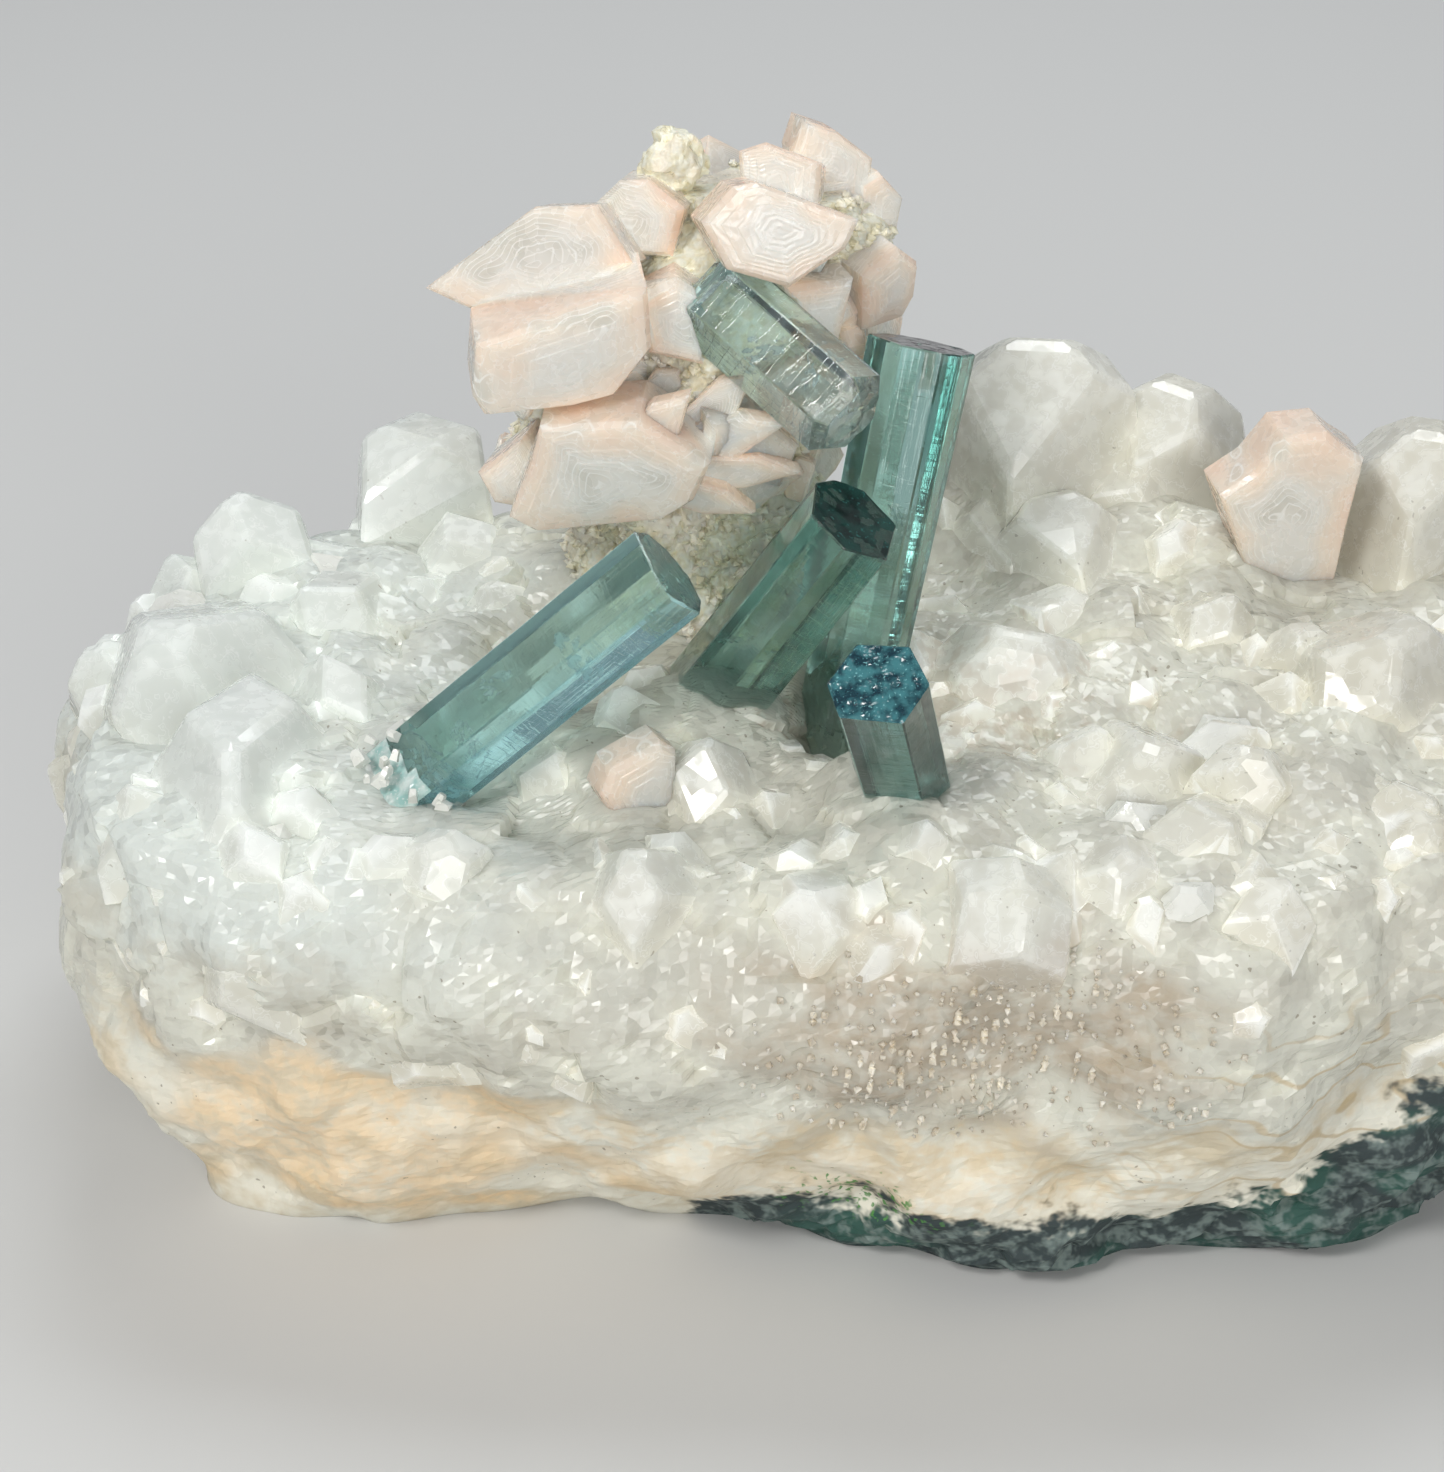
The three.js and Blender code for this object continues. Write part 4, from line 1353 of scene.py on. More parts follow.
@dataclass
class CrystalSet:
    """Blocky crystals: square prisms with four pyramid faces over their corners and a flat tip."""

    at: Array
    width: Array
    height: Array
    lean: Array
    turn: Array
    blunt: Array
    key: Array

    @staticmethod
    def joined(sets: Sequence["CrystalSet"]) -> "CrystalSet":
        """Puts several sets in one and numbers their crystals afresh.

        Args:
            sets: The sets, which keep their order.

        Returns:
            One set.
        """
        names = ("at", "width", "height", "lean", "turn", "blunt")
        values = {name: np.concatenate([getattr(s, name) for s in sets]) for name in names}
        return CrystalSet(**values, key=np.arange(len(values["width"])))

    def chosen(self, mask: Array) -> "CrystalSet":
        """Gives the crystals that a mask picks, with the keys they have."""
        return CrystalSet(*(getattr(self, name)[mask] for name in self.__dataclass_fields__))

    def planes(self) -> tuple[Array, Array]:
        """Works out the ten planes of each crystal.

        The flanks lie at about the half width, leaning in by a tenth. The pyramid faces cross the axis near
        the peak, which is the height over 0.55 + 0.45 blunt. The tip and the root are flat.

        Returns:
            Outward normals of shape (n, 10, 3) and how far each plane lies along its normal from the origin.
        """
        count = len(self.width)
        local = np.zeros((count, 10, 3))
        reach = np.zeros((count, 10))
        peak = self.height / (0.55 + 0.45 * self.blunt)
        for side in range(4):
            flank = side * math.pi / 2
            local[:, side] = unit(np.array([math.cos(flank), math.sin(flank), 0.1]))
            reach[:, side] = self.width * between((0.84, 1.06), self.key, side)
            corner = flank + math.pi / 4
            slope = between((0.8, 1.25), self.key, side + 4)
            across = np.broadcast_to([math.cos(corner), math.sin(corner)], (count, 2))
            local[:, side + 4] = unit(lifted(across, slope))
            reach[:, side + 4] = local[:, side + 4, 2] * peak * between((0.86, 1.04), self.key, side + 8)
        local[:, 8, 2], reach[:, 8] = 1.0, self.height
        local[:, 9, 2], reach[:, 9] = -1.0, self.width
        normals = np.einsum("nij,npj->npi", axes_along(self.lean, self.turn), local)
        return normals, reach + np.einsum("npj,nj->np", normals, self.at)

    def shells(self, chamfer: float = 0.0) -> list[Shell]:
        """Cuts every crystal.

        Args:
            chamfer: How deep the flats on its edges are, as a share of its half width.

        Returns:
            A shell for each crystal.
        """
        made = []
        for normals, reach, width in zip(*self.planes(), self.width):
            if chamfer > 0.0:
                made.append(chamfered(normals, reach, chamfer * width))
            else:
                made.append(Shell(*cut_solid(normals, reach)[:2]))
        return made

    def layers(self) -> list[Array]:
        """Sorts the crystals into layers where no two touch: each joins the first layer that has room.

        Returns:
            The numbers of the crystals in each layer.
        """
        radius = np.maximum(1.5 * self.width, 0.75 * (self.width + self.height)) + 0.1
        middle = self.at + unit(self.lean) * ((self.height - self.width) / 2)[:, None]
        layers: list[list[int]] = []
        for k in range(len(radius)):
            for layer in layers:
                apart = np.linalg.norm(middle[layer] - middle[k], axis=1)
                if (apart > radius[layer] + radius[k]).all():
                    layer.append(k)
                    break
            else:
                layers.append([k])
        return [np.array(layer) for layer in layers]


# Great crystals: a point in the base, the half width, the height above it, the lean, the turn and how blunt
# the tip is.
GREAT_CRYSTALS: tuple[tuple[Point, float, float, Point, float, float], ...] = (
    ((-48, 1.5, 30.5), 9.2, 10.8, (-0.22, -0.45, 0.9), 20, 0.66),
    ((-43, -14, 29.2), 8.3, 10.4, (0.02, -0.62, 0.78), 52, 0.7),
    ((-46, 17, 31), 5.8, 11, (-0.12, -0.05, 1), 10, 0.72),
    ((-40.5, 23, 34), 4.8, 8.6, (0.1, 0, 1), 38, 0.9),
    ((-52.5, 17, 30.5), 3.4, 7.5, (-0.1, 0, 1), 0, 0.97),
    ((-55.5, 12, 28), 4.6, 7, (-0.75, 0.1, 0.65), 15, 0.6),
    ((-54.8, 4, 24.5), 4.8, 6, (-0.9, -0.1, 0.4), 40, 0.66),
    ((-54.4, -6.5, 20), 4.4, 4.8, (-0.9, -0.3, 0.2), 5, 0.7),
    ((-33.5, 24.5, 34.5), 6, 9.8, (0, 0.05, 1), 8, 0.5),
    ((16.5, 22.5, 39), 7.4, 13.2, (-0.04, 0.05, 1), 30, 0.58),
    ((27.5, 23.5, 38.5), 5.8, 9.6, (0.12, 0, 1), 12, 0.6),
    ((46.5, 18.5, 36), 6.6, 11, (0.06, 0.05, 1), 33, 0.6),
    ((25.5, 7, 33), 4.8, 9.5, (0.05, -0.15, 1), 4, 0.7),
    ((17, 12, 34), 5.8, 8.6, (-0.1, -0.1, 1), 22, 0.62),
    ((12.5, -1, 32), 5.6, 7.8, (0.1, -0.3, 1), 41, 0.6),
    ((-28, 14.5, 32), 5.4, 8, (0.15, -0.1, 1), 29, 0.66),
    ((-34.5, 3.5, 32), 4, 7.6, (0.2, -0.3, 1), 47, 0.85),
    ((-23, -1, 32), 5, 6.4, (-0.15, -0.2, 1), 17, 0.7),
    ((20.5, -12.5, 30), 5.8, 7.2, (0.05, -0.4, 0.95), 26, 0.62),
    ((29.5, -7, 31), 6, 7.8, (0.1, -0.25, 1), 51, 0.62),
    ((39.5, -3, 32), 6.8, 8.8, (0.2, -0.2, 1), 13, 0.6),
    ((38.5, -17, 28), 6, 8, (0.15, -0.55, 0.85), 36, 0.66),
    ((29, -22.5, 25.5), 5.4, 7.2, (0.05, -0.8, 0.6), 9, 0.66),
    ((-4, -22, 27), 4.6, 6.8, (0.1, -0.75, 0.7), 31, 0.75),
    ((-11.5, -13.5, 30.5), 4.2, 5.8, (-0.1, -0.35, 0.95), 44, 0.75),
    ((-21, -19.5, 27.5), 5.4, 6.6, (0.05, -0.5, 0.85), 2, 0.66),
    ((-32, -20.5, 26.5), 5, 6.6, (-0.1, -0.6, 0.8), 24, 0.7),
    ((12, -22, 27), 5, 6.6, (0, -0.6, 0.8), 39, 0.66),
    ((53.4, 6, 28), 6.2, 8.4, (0.75, 0.05, 0.7), 18, 0.62),
    ((50, -13, 26), 5.8, 8, (0.7, -0.45, 0.6), 42, 0.66),
    ((-8, 25, 33.5), 5.6, 8, (0, 0.35, 0.95), 21, 0.6),
    ((4, 23, 34), 4.8, 8, (0.05, 0.1, 1), 49, 0.75),
    ((36.5, 13, 34), 4, 6, (0.1, 0, 1), 27, 0.7),
)

# What is planted in the crust, as circles in plan: x, y and radius.
PLANTED: tuple[tuple[float, float, float], ...] = (
    (-11.5, 11, 10.4),
    (-0.5, -5.5, 4.5),
    (-8.5, -5.5, 4.6),
    (3.8, -16.5, 5.4),
    (-31, -14.8, 5.5),
    (34.2, 12.5, 5),
    (-15.2, -16.4, 3),
)


@dataclass
class Crust:
    """The crystals that grow on the slab, from the great ones listed one by one to the spread of small ones.
    """

    form: SlabForm
    crown_count: int = 90
    flank_count: int = 25
    small_crown: int = 300
    small_flank: int = 170
    standoff: float = 1.0
    lesser_width: Limits = (2.8, 4.5)

    def great(self) -> CrystalSet:
        """Gives the great crystals."""
        at, width, height, lean, turn, blunt = (np.array(column, float) for column in zip(*GREAT_CRYSTALS))
        return CrystalSet(at, width, height, lean, turn, blunt, np.arange(len(width)))

    def clear_of_planted(self, crystals: CrystalSet, share: float = 0.35) -> Array:
        """Tells which crystals stand clear of everything that is planted in the crust.

        Args:
            crystals: The crystals.
            share: How much of its half width each needs beyond the standoff.

        Returns:
            A mask of the clear ones.
        """
        mask = np.ones(len(crystals.width), bool)
        for x, y, radius in PLANTED:
            away = np.hypot(crystals.at[:, 0] - x, crystals.at[:, 1] - y)
            mask &= away > radius + self.standoff + share * crystals.width
        return mask

    def on_crown(self, count: int, widths: Limits, sink: float, shift: int) -> CrystalSet:
        """Spreads crystals over the crown on a golden-angle spiral.

        Args:
            count: How many.
            widths: Limits of the half width.
            sink: How deep each base lies, in half widths.
            shift: Added to each key, so that another spread differs.

        Returns:
            The crystals.
        """
        k = np.arange(count)
        foot = self.form.surface(np.mod(GOLDEN_ANGLE * k / (2 * math.pi), 1), 2 - np.sqrt((k + 0.5) / count))
        key = k + shift
        width = between(widths, key, 21)
        lean = np.stack(
            [
                between((-0.4, 0.4), key, 23) + foot[:, 0] / 120,
                between((-0.5, 0.3), key, 24) + foot[:, 1] / 90,
                np.ones(count),
            ],
            axis=-1,
        )
        return CrystalSet(
            at=foot - np.stack([0 * width, 0 * width, sink * width], axis=-1),
            width=width,
            height=width * between((1.15, 1.9), key, 22),
            lean=lean,
            turn=between((0, 90), key, 25),
            blunt=between((0.6, 0.95), key, 26),
            key=key,
        )

    def on_flank(self, count: int, widths: Limits, levels: Limits, shift: int) -> CrystalSet:
        """Spreads crystals round the flank of the slab.

        Args:
            count: How many.
            widths: Limits of the half width.
            levels: Between which levels of the slab they stand.
            shift: Added to each key, so that another spread differs.

        Returns:
            The crystals.
        """
        k = np.arange(count)
        key = k + shift
        foot = self.form.surface((k + between((0, 0.6), key, 31)) / count, between(levels, key, 32))
        out = unit(np.stack([foot[:, 0], 2.6 * foot[:, 1], np.zeros(count)], axis=-1))
        width = between(widths, key, 33)
        return CrystalSet(
            at=foot - width[:, None] * (out + [0, 0, 0.4]),
            width=width,
            height=width * between((1.2, 1.6), key, 34),
            lean=np.concatenate([out[:, :2], between((0.2, 1), key, 35)[:, None]], axis=1),
            turn=between((0, 90), key, 36),
            blunt=between((0.6, 0.85), key, 37),
            key=key,
        )

    def main_crystals(self) -> CrystalSet:
        """Gives the great and the lesser crystals, in one set.

        Returns:
            The crystals.
        """
        crown = self.on_crown(self.crown_count, self.lesser_width, 0.7, 0)
        crown = crown.chosen(self.clear_of_planted(crown))
        flank = self.on_flank(self.flank_count, self.lesser_width, (0.72, 1.02), 0)
        return CrystalSet.joined([self.great(), crown, flank])

    def small_crystals(self) -> CrystalSet:
        """Gives the small crystals that fill in between, with none on the tan patch of the front.

        Returns:
            The crystals.
        """
        crown = self.on_crown(self.small_crown, (1.2, 3.2), 1.0, 500)
        crown = crown.chosen(self.clear_of_planted(crown, 0.0))
        flank = self.on_flank(self.small_flank, (1.0, 2.8), (0.62, 1.04), 900)
        x, y, z = flank.at.T
        patch = np.hypot((x - TAN_X) / 17, (z - TAN_Z) / 7.5) + (y > 0)
        return CrystalSet.joined([crown, flank.chosen(patch > 1.0)])


@dataclass
class Slab:
    """The matrix: rock body, milky crust fused to it, clear crystals in the crust and loose sugar grains."""

    form: SlabForm = field(default_factory=SlabForm)
    columns: int = 372
    flank_rows: int = 90
    crown_rows: int = 72
    underside_rows: int = 8
    splinter_count: int = 44
    clear_share: float = 0.07
    first_clear: int = 12
    chamfer: float = 0.035
    clear_chamfer: float = 0.04
    lying_foot: Point = (-35.5, -14.9, 30.0)
    lying_way: Point = (22.8, 1.2, 20.0)

    def levels(self) -> Array:
        """Gives the level of each ring of the body, closest together on the flank."""
        flank = np.linspace(0.0, 1.28, self.flank_rows, endpoint=False)
        return np.concatenate([flank, np.linspace(1.28, 1.985, self.crown_rows)])

    def body(self) -> tuple[Shell, Array, Array]:
        """Works out the rock body: the form, pushed along its normals by relief that changes with the height.

        The relief is flat broken faces of about 5 mm near the crust, lumps of 5 mm on the chalky band, and
        rough ridges on the rind at the foot.

        Returns:
            The shell, the grid of its points and the grid of their outward normals.
        """
        turn = np.arange(self.columns) / self.columns
        grid = self.form.surface(turn[None, :], self.levels()[:, None])
        around = np.roll(grid, -1, axis=1) - np.roll(grid, 1, axis=1)
        outward = unit(np.cross(around, np.gradient(grid, axis=0)))
        z, x = grid[..., 2], grid[..., 0]
        upper = ease(z + 4.0 * Relief.value(grid, 9.0, 71), 14.0, 22.0)
        face, gap = Relief.facets(grid, 5.2, 11)
        small, small_gap = Relief.facets(grid, 2.3, 29)
        broken = 0.6 + 1.4 * face + 0.25 * small
        broken = broken - 0.15 * ease(gap, 0.16, 0.0) - 0.05 * ease(small_gap, 0.16, 0.0)
        chalk = 0.8 * Relief.layered(grid, 5.0, 4, 41) + 0.35 * Relief.layered(grid, 1.4, 3, 47)
        rind_top = -4.0 + 8.5 * ease(x, -15.0, -5.0) + 7.0 * ease(x, 20.0, 48.0)
        rind = ease(z - rind_top + 2.5 * Relief.value(grid, 4.0, 83), 1.0, -1.5)
        ridges = 1.5 * (1.0 - 2.0 * np.abs(Relief.layered(grid, 3.2, 4, 53))) - 0.3
        hollow = 1.6 * np.exp(-(((x - TAN_X) / 12) ** 2 + ((z - TAN_Z) / 6) ** 2)) * (grid[..., 1] < 0)
        push = upper * broken + (1.0 - upper) * chalk
        push = push * (1.0 - rind) + rind * ridges - hollow
        push *= ease(z, -0.2, 2.5)
        grid = grid + outward * push[..., None]
        rest = np.linspace(0.02, 0.97, self.underside_rows)[:, None, None]
        middle = np.array([*self.form.middle, 0.0])
        below = middle + (grid[:1] - middle) * rest
        below[..., 2] = 0.0
        grid[0, :, 2] = 0.0
        rows = np.concatenate([below, grid])
        return Shell.revolved(rows), grid, outward

    def build(self) -> list[Piece]:
        """Builds the matrix and dresses it.

        Returns:
            The pieces that stand for the matrix.
        """
        finishes = (ROCK, CRUST)
        shell, grid, outward = self.body()
        rock = shell.marked(0).object("matrix_rock", finishes)
        crust = Crust(self.form)
        main = crust.main_crystals()
        small = crust.small_crystals()
        milky = fraction(small.key, 44) > self.clear_share
        clear_main = (fraction(main.key, 43) < 0.3 * self.clear_share) & (main.key >= self.first_clear)
        layers = []
        for crystals, chamfer in ((main.chosen(~clear_main), self.chamfer), (small.chosen(milky), 0.0)):
            shells = crystals.shells(chamfer)
            for layer in crystals.layers():
                joined = Shell.joined(shells[k] for k in layer).marked(1)
                layers.append(joined.object(f"layer_{len(layers)}", finishes))
        LOG.info("matrix: %d layers of crystals to fuse", len(layers))
        fuse(rock, layers)
        shells = main.chosen(clear_main).shells(self.clear_chamfer) + small.chosen(~milky).shells(0.0)
        glassy = Shell.joined(shells).object("clear_crystals", (GLASSY,))
        return [rock, glassy, self.splinters(), self.sugar(grid, outward)]

    def splinters(self) -> Piece:
        """Sets clear splinters round the broken foot of the lying crystal, leaning the way that it lies.

        Returns:
            The piece.
        """
        k = np.arange(self.splinter_count)
        lean = unit(np.array(self.lying_way))
        around = axes_along(lean[None], np.zeros(1))[0]
        turn = 2 * math.pi * fraction(k, 91)
        reach = between((3.3, 4.3), k, 92)
        ring = np.cos(turn)[:, None] * around[:, 0] + np.sin(turn)[:, None] * around[:, 1]
        width = between((0.2, 0.5), k, 93)
        foot = np.array(self.lying_foot) + lean * between((2.6, 7.6), k, 94)[:, None]
        spread = np.stack([between((-0.7, 0.7), k, 95 + axis) for axis in range(3)], axis=-1)
        splinters = CrystalSet(
            at=foot + ring * reach[:, None],
            width=width,
            height=width * between((1.3, 2.4), k, 98),
            lean=0.6 * lean + 0.2 * ring + spread,
            turn=between((0, 90), k, 99),
            blunt=between((0.2, 0.6), k, 100),
            key=k + 40,
        )
        return Shell.joined(splinters.shells()).object("splinters", (GLASSY,))

    def sugar(self, grid: Array, outward: Array) -> Piece:
        """Scatters sugar grains over the tan patch of the front.

        Args:
            grid: Points of the rock body.
            outward: Their outward normals.

        Returns:
            The piece.
        """
        x, y, z = np.moveaxis(grid, -1, 0)
        near = np.exp(-(((x - TAN_X) / 15) ** 2 + ((z - TAN_Z) / 7.5) ** 2)) * (y < -10)
        chance = fraction(np.arange(x.size).reshape(x.shape), 61)
        sites = (chance < 0.5 * near) & (near > 0.22)
        return Druse(size=(0.14, 0.36), finish=GRAINS).over(grid[sites], outward[sites], "sugar_grains")


# The faces of a tiny crystal: corners 0 to 3 run round its waist, 4 is its tip and 5 its foot.
EIGHT_FACES = np.array(
    [(0, 1, 4), (1, 2, 4), (2, 3, 4), (3, 0, 4), (1, 0, 5), (2, 1, 5), (3, 2, 5), (0, 3, 5)]
)


@dataclass(frozen=True)
class Druse:
    """Tiny eight-faced crystals that sit on a surface."""

    size: Limits
    finish: Finish

    def over(self, sites: Array, outward: Array, name: str) -> Piece:
        """Sets a crystal on each site: six corners along three turned axes, joined by eight faces.

        Args:
            sites: Where the crystals sit.
            outward: The outward normal there.
            name: The piece's name.

        Returns:
            The piece.
        """
        count = len(sites)
        key = np.arange(count)
        spin = np.stack([fraction(key, 71 + k) - 0.5 for k in range(3)], axis=-1)
        third = unit(outward + 1.2 * spin)
        first = unit(np.cross(third, unit(spin + 0.01)))
        second = np.cross(third, first)
        size = between(self.size, key, 75)[:, None]
        centre = sites + outward * size * 0.25
        waist = [first * size, second * size, -first * size, -second * size]
        corners = np.stack([*waist, third * size * 1.4, -third * size * 1.4], axis=1)
        points = (centre[:, None, :] + corners).reshape(-1, 3)
        faces = (EIGHT_FACES[None] + 6 * key[:, None, None]).reshape(-1, 3)
        return Shell(points, faces.tolist()).object(name, (self.finish,))


# The sheaf


@dataclass(frozen=True)
class Blade:
    """A bevelled tablet with stepped faces."""

    at: Point
    outline: Outline
    thick: float
    swing: float
    tip: float
    bevel: float = 0.5
    steps: int = 3

    def shell(self) -> Shell:
        """Carries the outline through the thickness: narrower at both faces, stepped over the show face.

        Returns:
            The closed tablet.
        """
        outline = np.array(self.outline, float)
        ahead = np.roll(outline, -1, axis=0)
        area = (outline[:, 0] * ahead[:, 1] - outline[:, 1] * ahead[:, 0]).sum()
        outline = outline if area > 0 else outline[::-1]
        reach = np.hypot(*outline.T).max()
        half = self.thick / 2
        stations = [
            (-half, 1 - 1.4 * self.bevel / reach),
            (-half + self.bevel, 0.997),
            (-half + 1.1 * self.bevel, 1.0),
            (half - 1.1 * self.bevel, 1.0),
            (half - self.bevel, 0.997),
            (half - 0.12, 1 - 0.9 * self.bevel / reach),
            (half, 1 - 1.05 * self.bevel / reach),
        ]
        scale = stations[-1][1]
        for step in range(self.steps):
            scale *= 0.84 - 0.09 * step
            stations += [(half + 0.03 + 0.08 * step, scale + 0.02), (half + 0.08 + 0.08 * step, scale)]
        depth, size = np.array(stations).T
        drift = np.array([0.35, -0.25]) * self.bevel
        lean = np.clip(depth - half, 0, 1)[:, None, None] * drift * 2.0
        local = lifted(outline[None] * size[:, None, None] + lean, depth[:, None])
        made = Shell.revolved(local @ self.axes().T + np.array(self.at))
        near = np.repeat(np.where(depth < 0.0, 1.0, size), len(outline))
        return Shell(made.points, made.faces, rim=np.concatenate([near, [0.6, 0.0]]))

    def axes(self) -> Array:
        """Gives the blade's axes in columns: a tip about X, then a swing about Z."""
        return turned(self.swing, 2) @ turned(90 + self.tip, 0)


SHEAF_BLADES: tuple[Blade, ...] = (
    Blade(
        (-21.3, 4, 66.3),
        ((-8.6, -2.8), (-0.7, 3.6), (3.8, 4.1), (6.6, 0.3), (0.7, -4.9), (-5.4, -3.9)),
        5, -14, -16,
    ),
    Blade(
        (-20.5, -0.5, 61.4),
        ((-6.5, -2.2), (-6.1, 1.9), (5.9, 5.6), (6.2, 0.9), (3.6, -2.6), (0.6, -3.3), (-5.7, -3.7)),
        6.5, 8, 6,
    ),
    Blade(
        (-17.1, -0.8, 52.8),
        (
            (-7.3, -3.9), (-5.3, 1.2), (-4.5, 4.4), (2.6, 5.2),
            (7.6, 1.7), (6.3, -1.6), (4.2, -3.3), (-5.5, -5),
        ),
        6, -6, 12,
    ),
    Blade((-24, 4, 49.8), ((-2.6, 0.3), (0.8, 3.2), (2.6, 0.5), (1.6, -2.2), (-1.4, -2)), 5.4, -14, 0),
    Blade(
        (-8, 1.6, 53.4),
        ((-3.3, -0.7), (-3.2, 3.8), (0.7, 3.4), (4.2, 0), (3.2, -3.6), (-0.4, -3)),
        5, 18, 14,
    ),
    Blade(
        (-14.6, 8, 68.2),
        ((-3.6, 0.4), (-1.4, 2.6), (0.6, 2.8), (3.4, 0.9), (2.6, -2.6), (-2.2, -2.6)),
        6, -10, -10,
    ),
    Blade(
        (-5.2, 2.8, 68.9),
        ((-5.7, 1), (-3.4, 3.3), (-1.7, 3.5), (5.5, 0.5), (4.5, -1.4), (0.3, -3.9), (-4, -2.4)),
        6, 10, -14,
    ),
    Blade((-4.6, 7.5, 71.2), ((-3.1, 1.4), (-1.2, 2.1), (2.9, 0.8), (2.7, -3.6), (-2.6, -3.4)), 4.2, -8, -24),
    Blade(
        (-1.4, 11.6, 71.6),
        ((-2.9, 0.6), (-2.1, 2.7), (0.2, 1.8), (3, -0.5), (2.2, -4.6), (-2.2, -4.6)),
        4.4, 14, -8,
    ),
    Blade((2.2, 12.6, 68), ((-2.5, 1.8), (-0.9, 2.5), (1.1, 0.3), (0.5, -2.8), (-2.8, -2.6)), 5, 28, 0),
    Blade(
        (1.8, 8.6, 63.6),
        ((-2.8, 1.4), (0.1, 3.1), (2.1, 1.5), (2.1, -1.2), (1.2, -2.9), (-2.2, -3.2)),
        6.4, 34, 8,
    ),
    Blade((-2.6, 3.6, 62.6), ((-2.8, 2.8), (2.6, 2.6), (1.6, -3), (-1.7, -2.9)), 3.6, 22, 6),
    Blade((-12.4, 1.8, 62.8), ((-2.8, 2), (0.1, 3.3), (3.1, 1.3), (1.9, -3.2), (-1.9, -2.2)), 4.6, 4, -4),
    Blade((-20, 16, 60), ((-5, -2), (-2, 4), (4, 3), (4.5, -3), (-1, -4.5)), 6, -58, 0),
    Blade((-14, 18, 54), ((-5, -3), (-4, 3), (2, 5), (5, 0), (2, -4)), 5.5, -12, 10),
    Blade((-4, 17, 58), ((-4.5, -4), (-4, 3), (0, 5.5), (4.5, 2), (3.5, -4)), 5.5, 24, -8),
    Blade((-10, 16, 66), ((-4, -3), (-4.5, 2), (0, 5), (4, 2.5), (3.5, -3)), 5, -6, 22),
    Blade((1, 14, 56), ((-3, -3), (-3, 3.5), (1, 5), (4, 1), (2.5, -3.5)), 5, 62, 0),
    Blade((-19, 15, 46), ((-3.5, -3), (-3.5, 3), (1, 4), (3.5, 0), (2, -3.5)), 5, -46, -6),
    Blade((-4.5, 16.5, 46), ((-3.5, -2.5), (-2.5, 3.5), (2, 3.5), (3.5, -1), (0, -3.5)), 5, 38, 4),
)

LONE_BLADES: dict[str, Blade] = {
    "peach_blade_right": Blade(
        (34.2, 12.5, 42.2),
        (
            (-5.4, 3), (-2.8, 4.8), (-0.8, 7.7), (2.6, 7.8), (4.2, 6.4), (6, 5.2), (5.4, -0.5), (5, -6.5),
            (1.6, -8.6), (-1.4, -6.4),
        ),
        5, 10, 4,
    ),
    "peach_blade_front": Blade(
        (-15.2, -16.4, 34.6),
        ((-3.2, 0.6), (-2.4, 2.6), (1.4, 3.9), (2.6, 2.9), (2.8, -3.4), (0.8, -5), (-1.6, -3.2)),
        3.4, 26, 2,
    ),
}


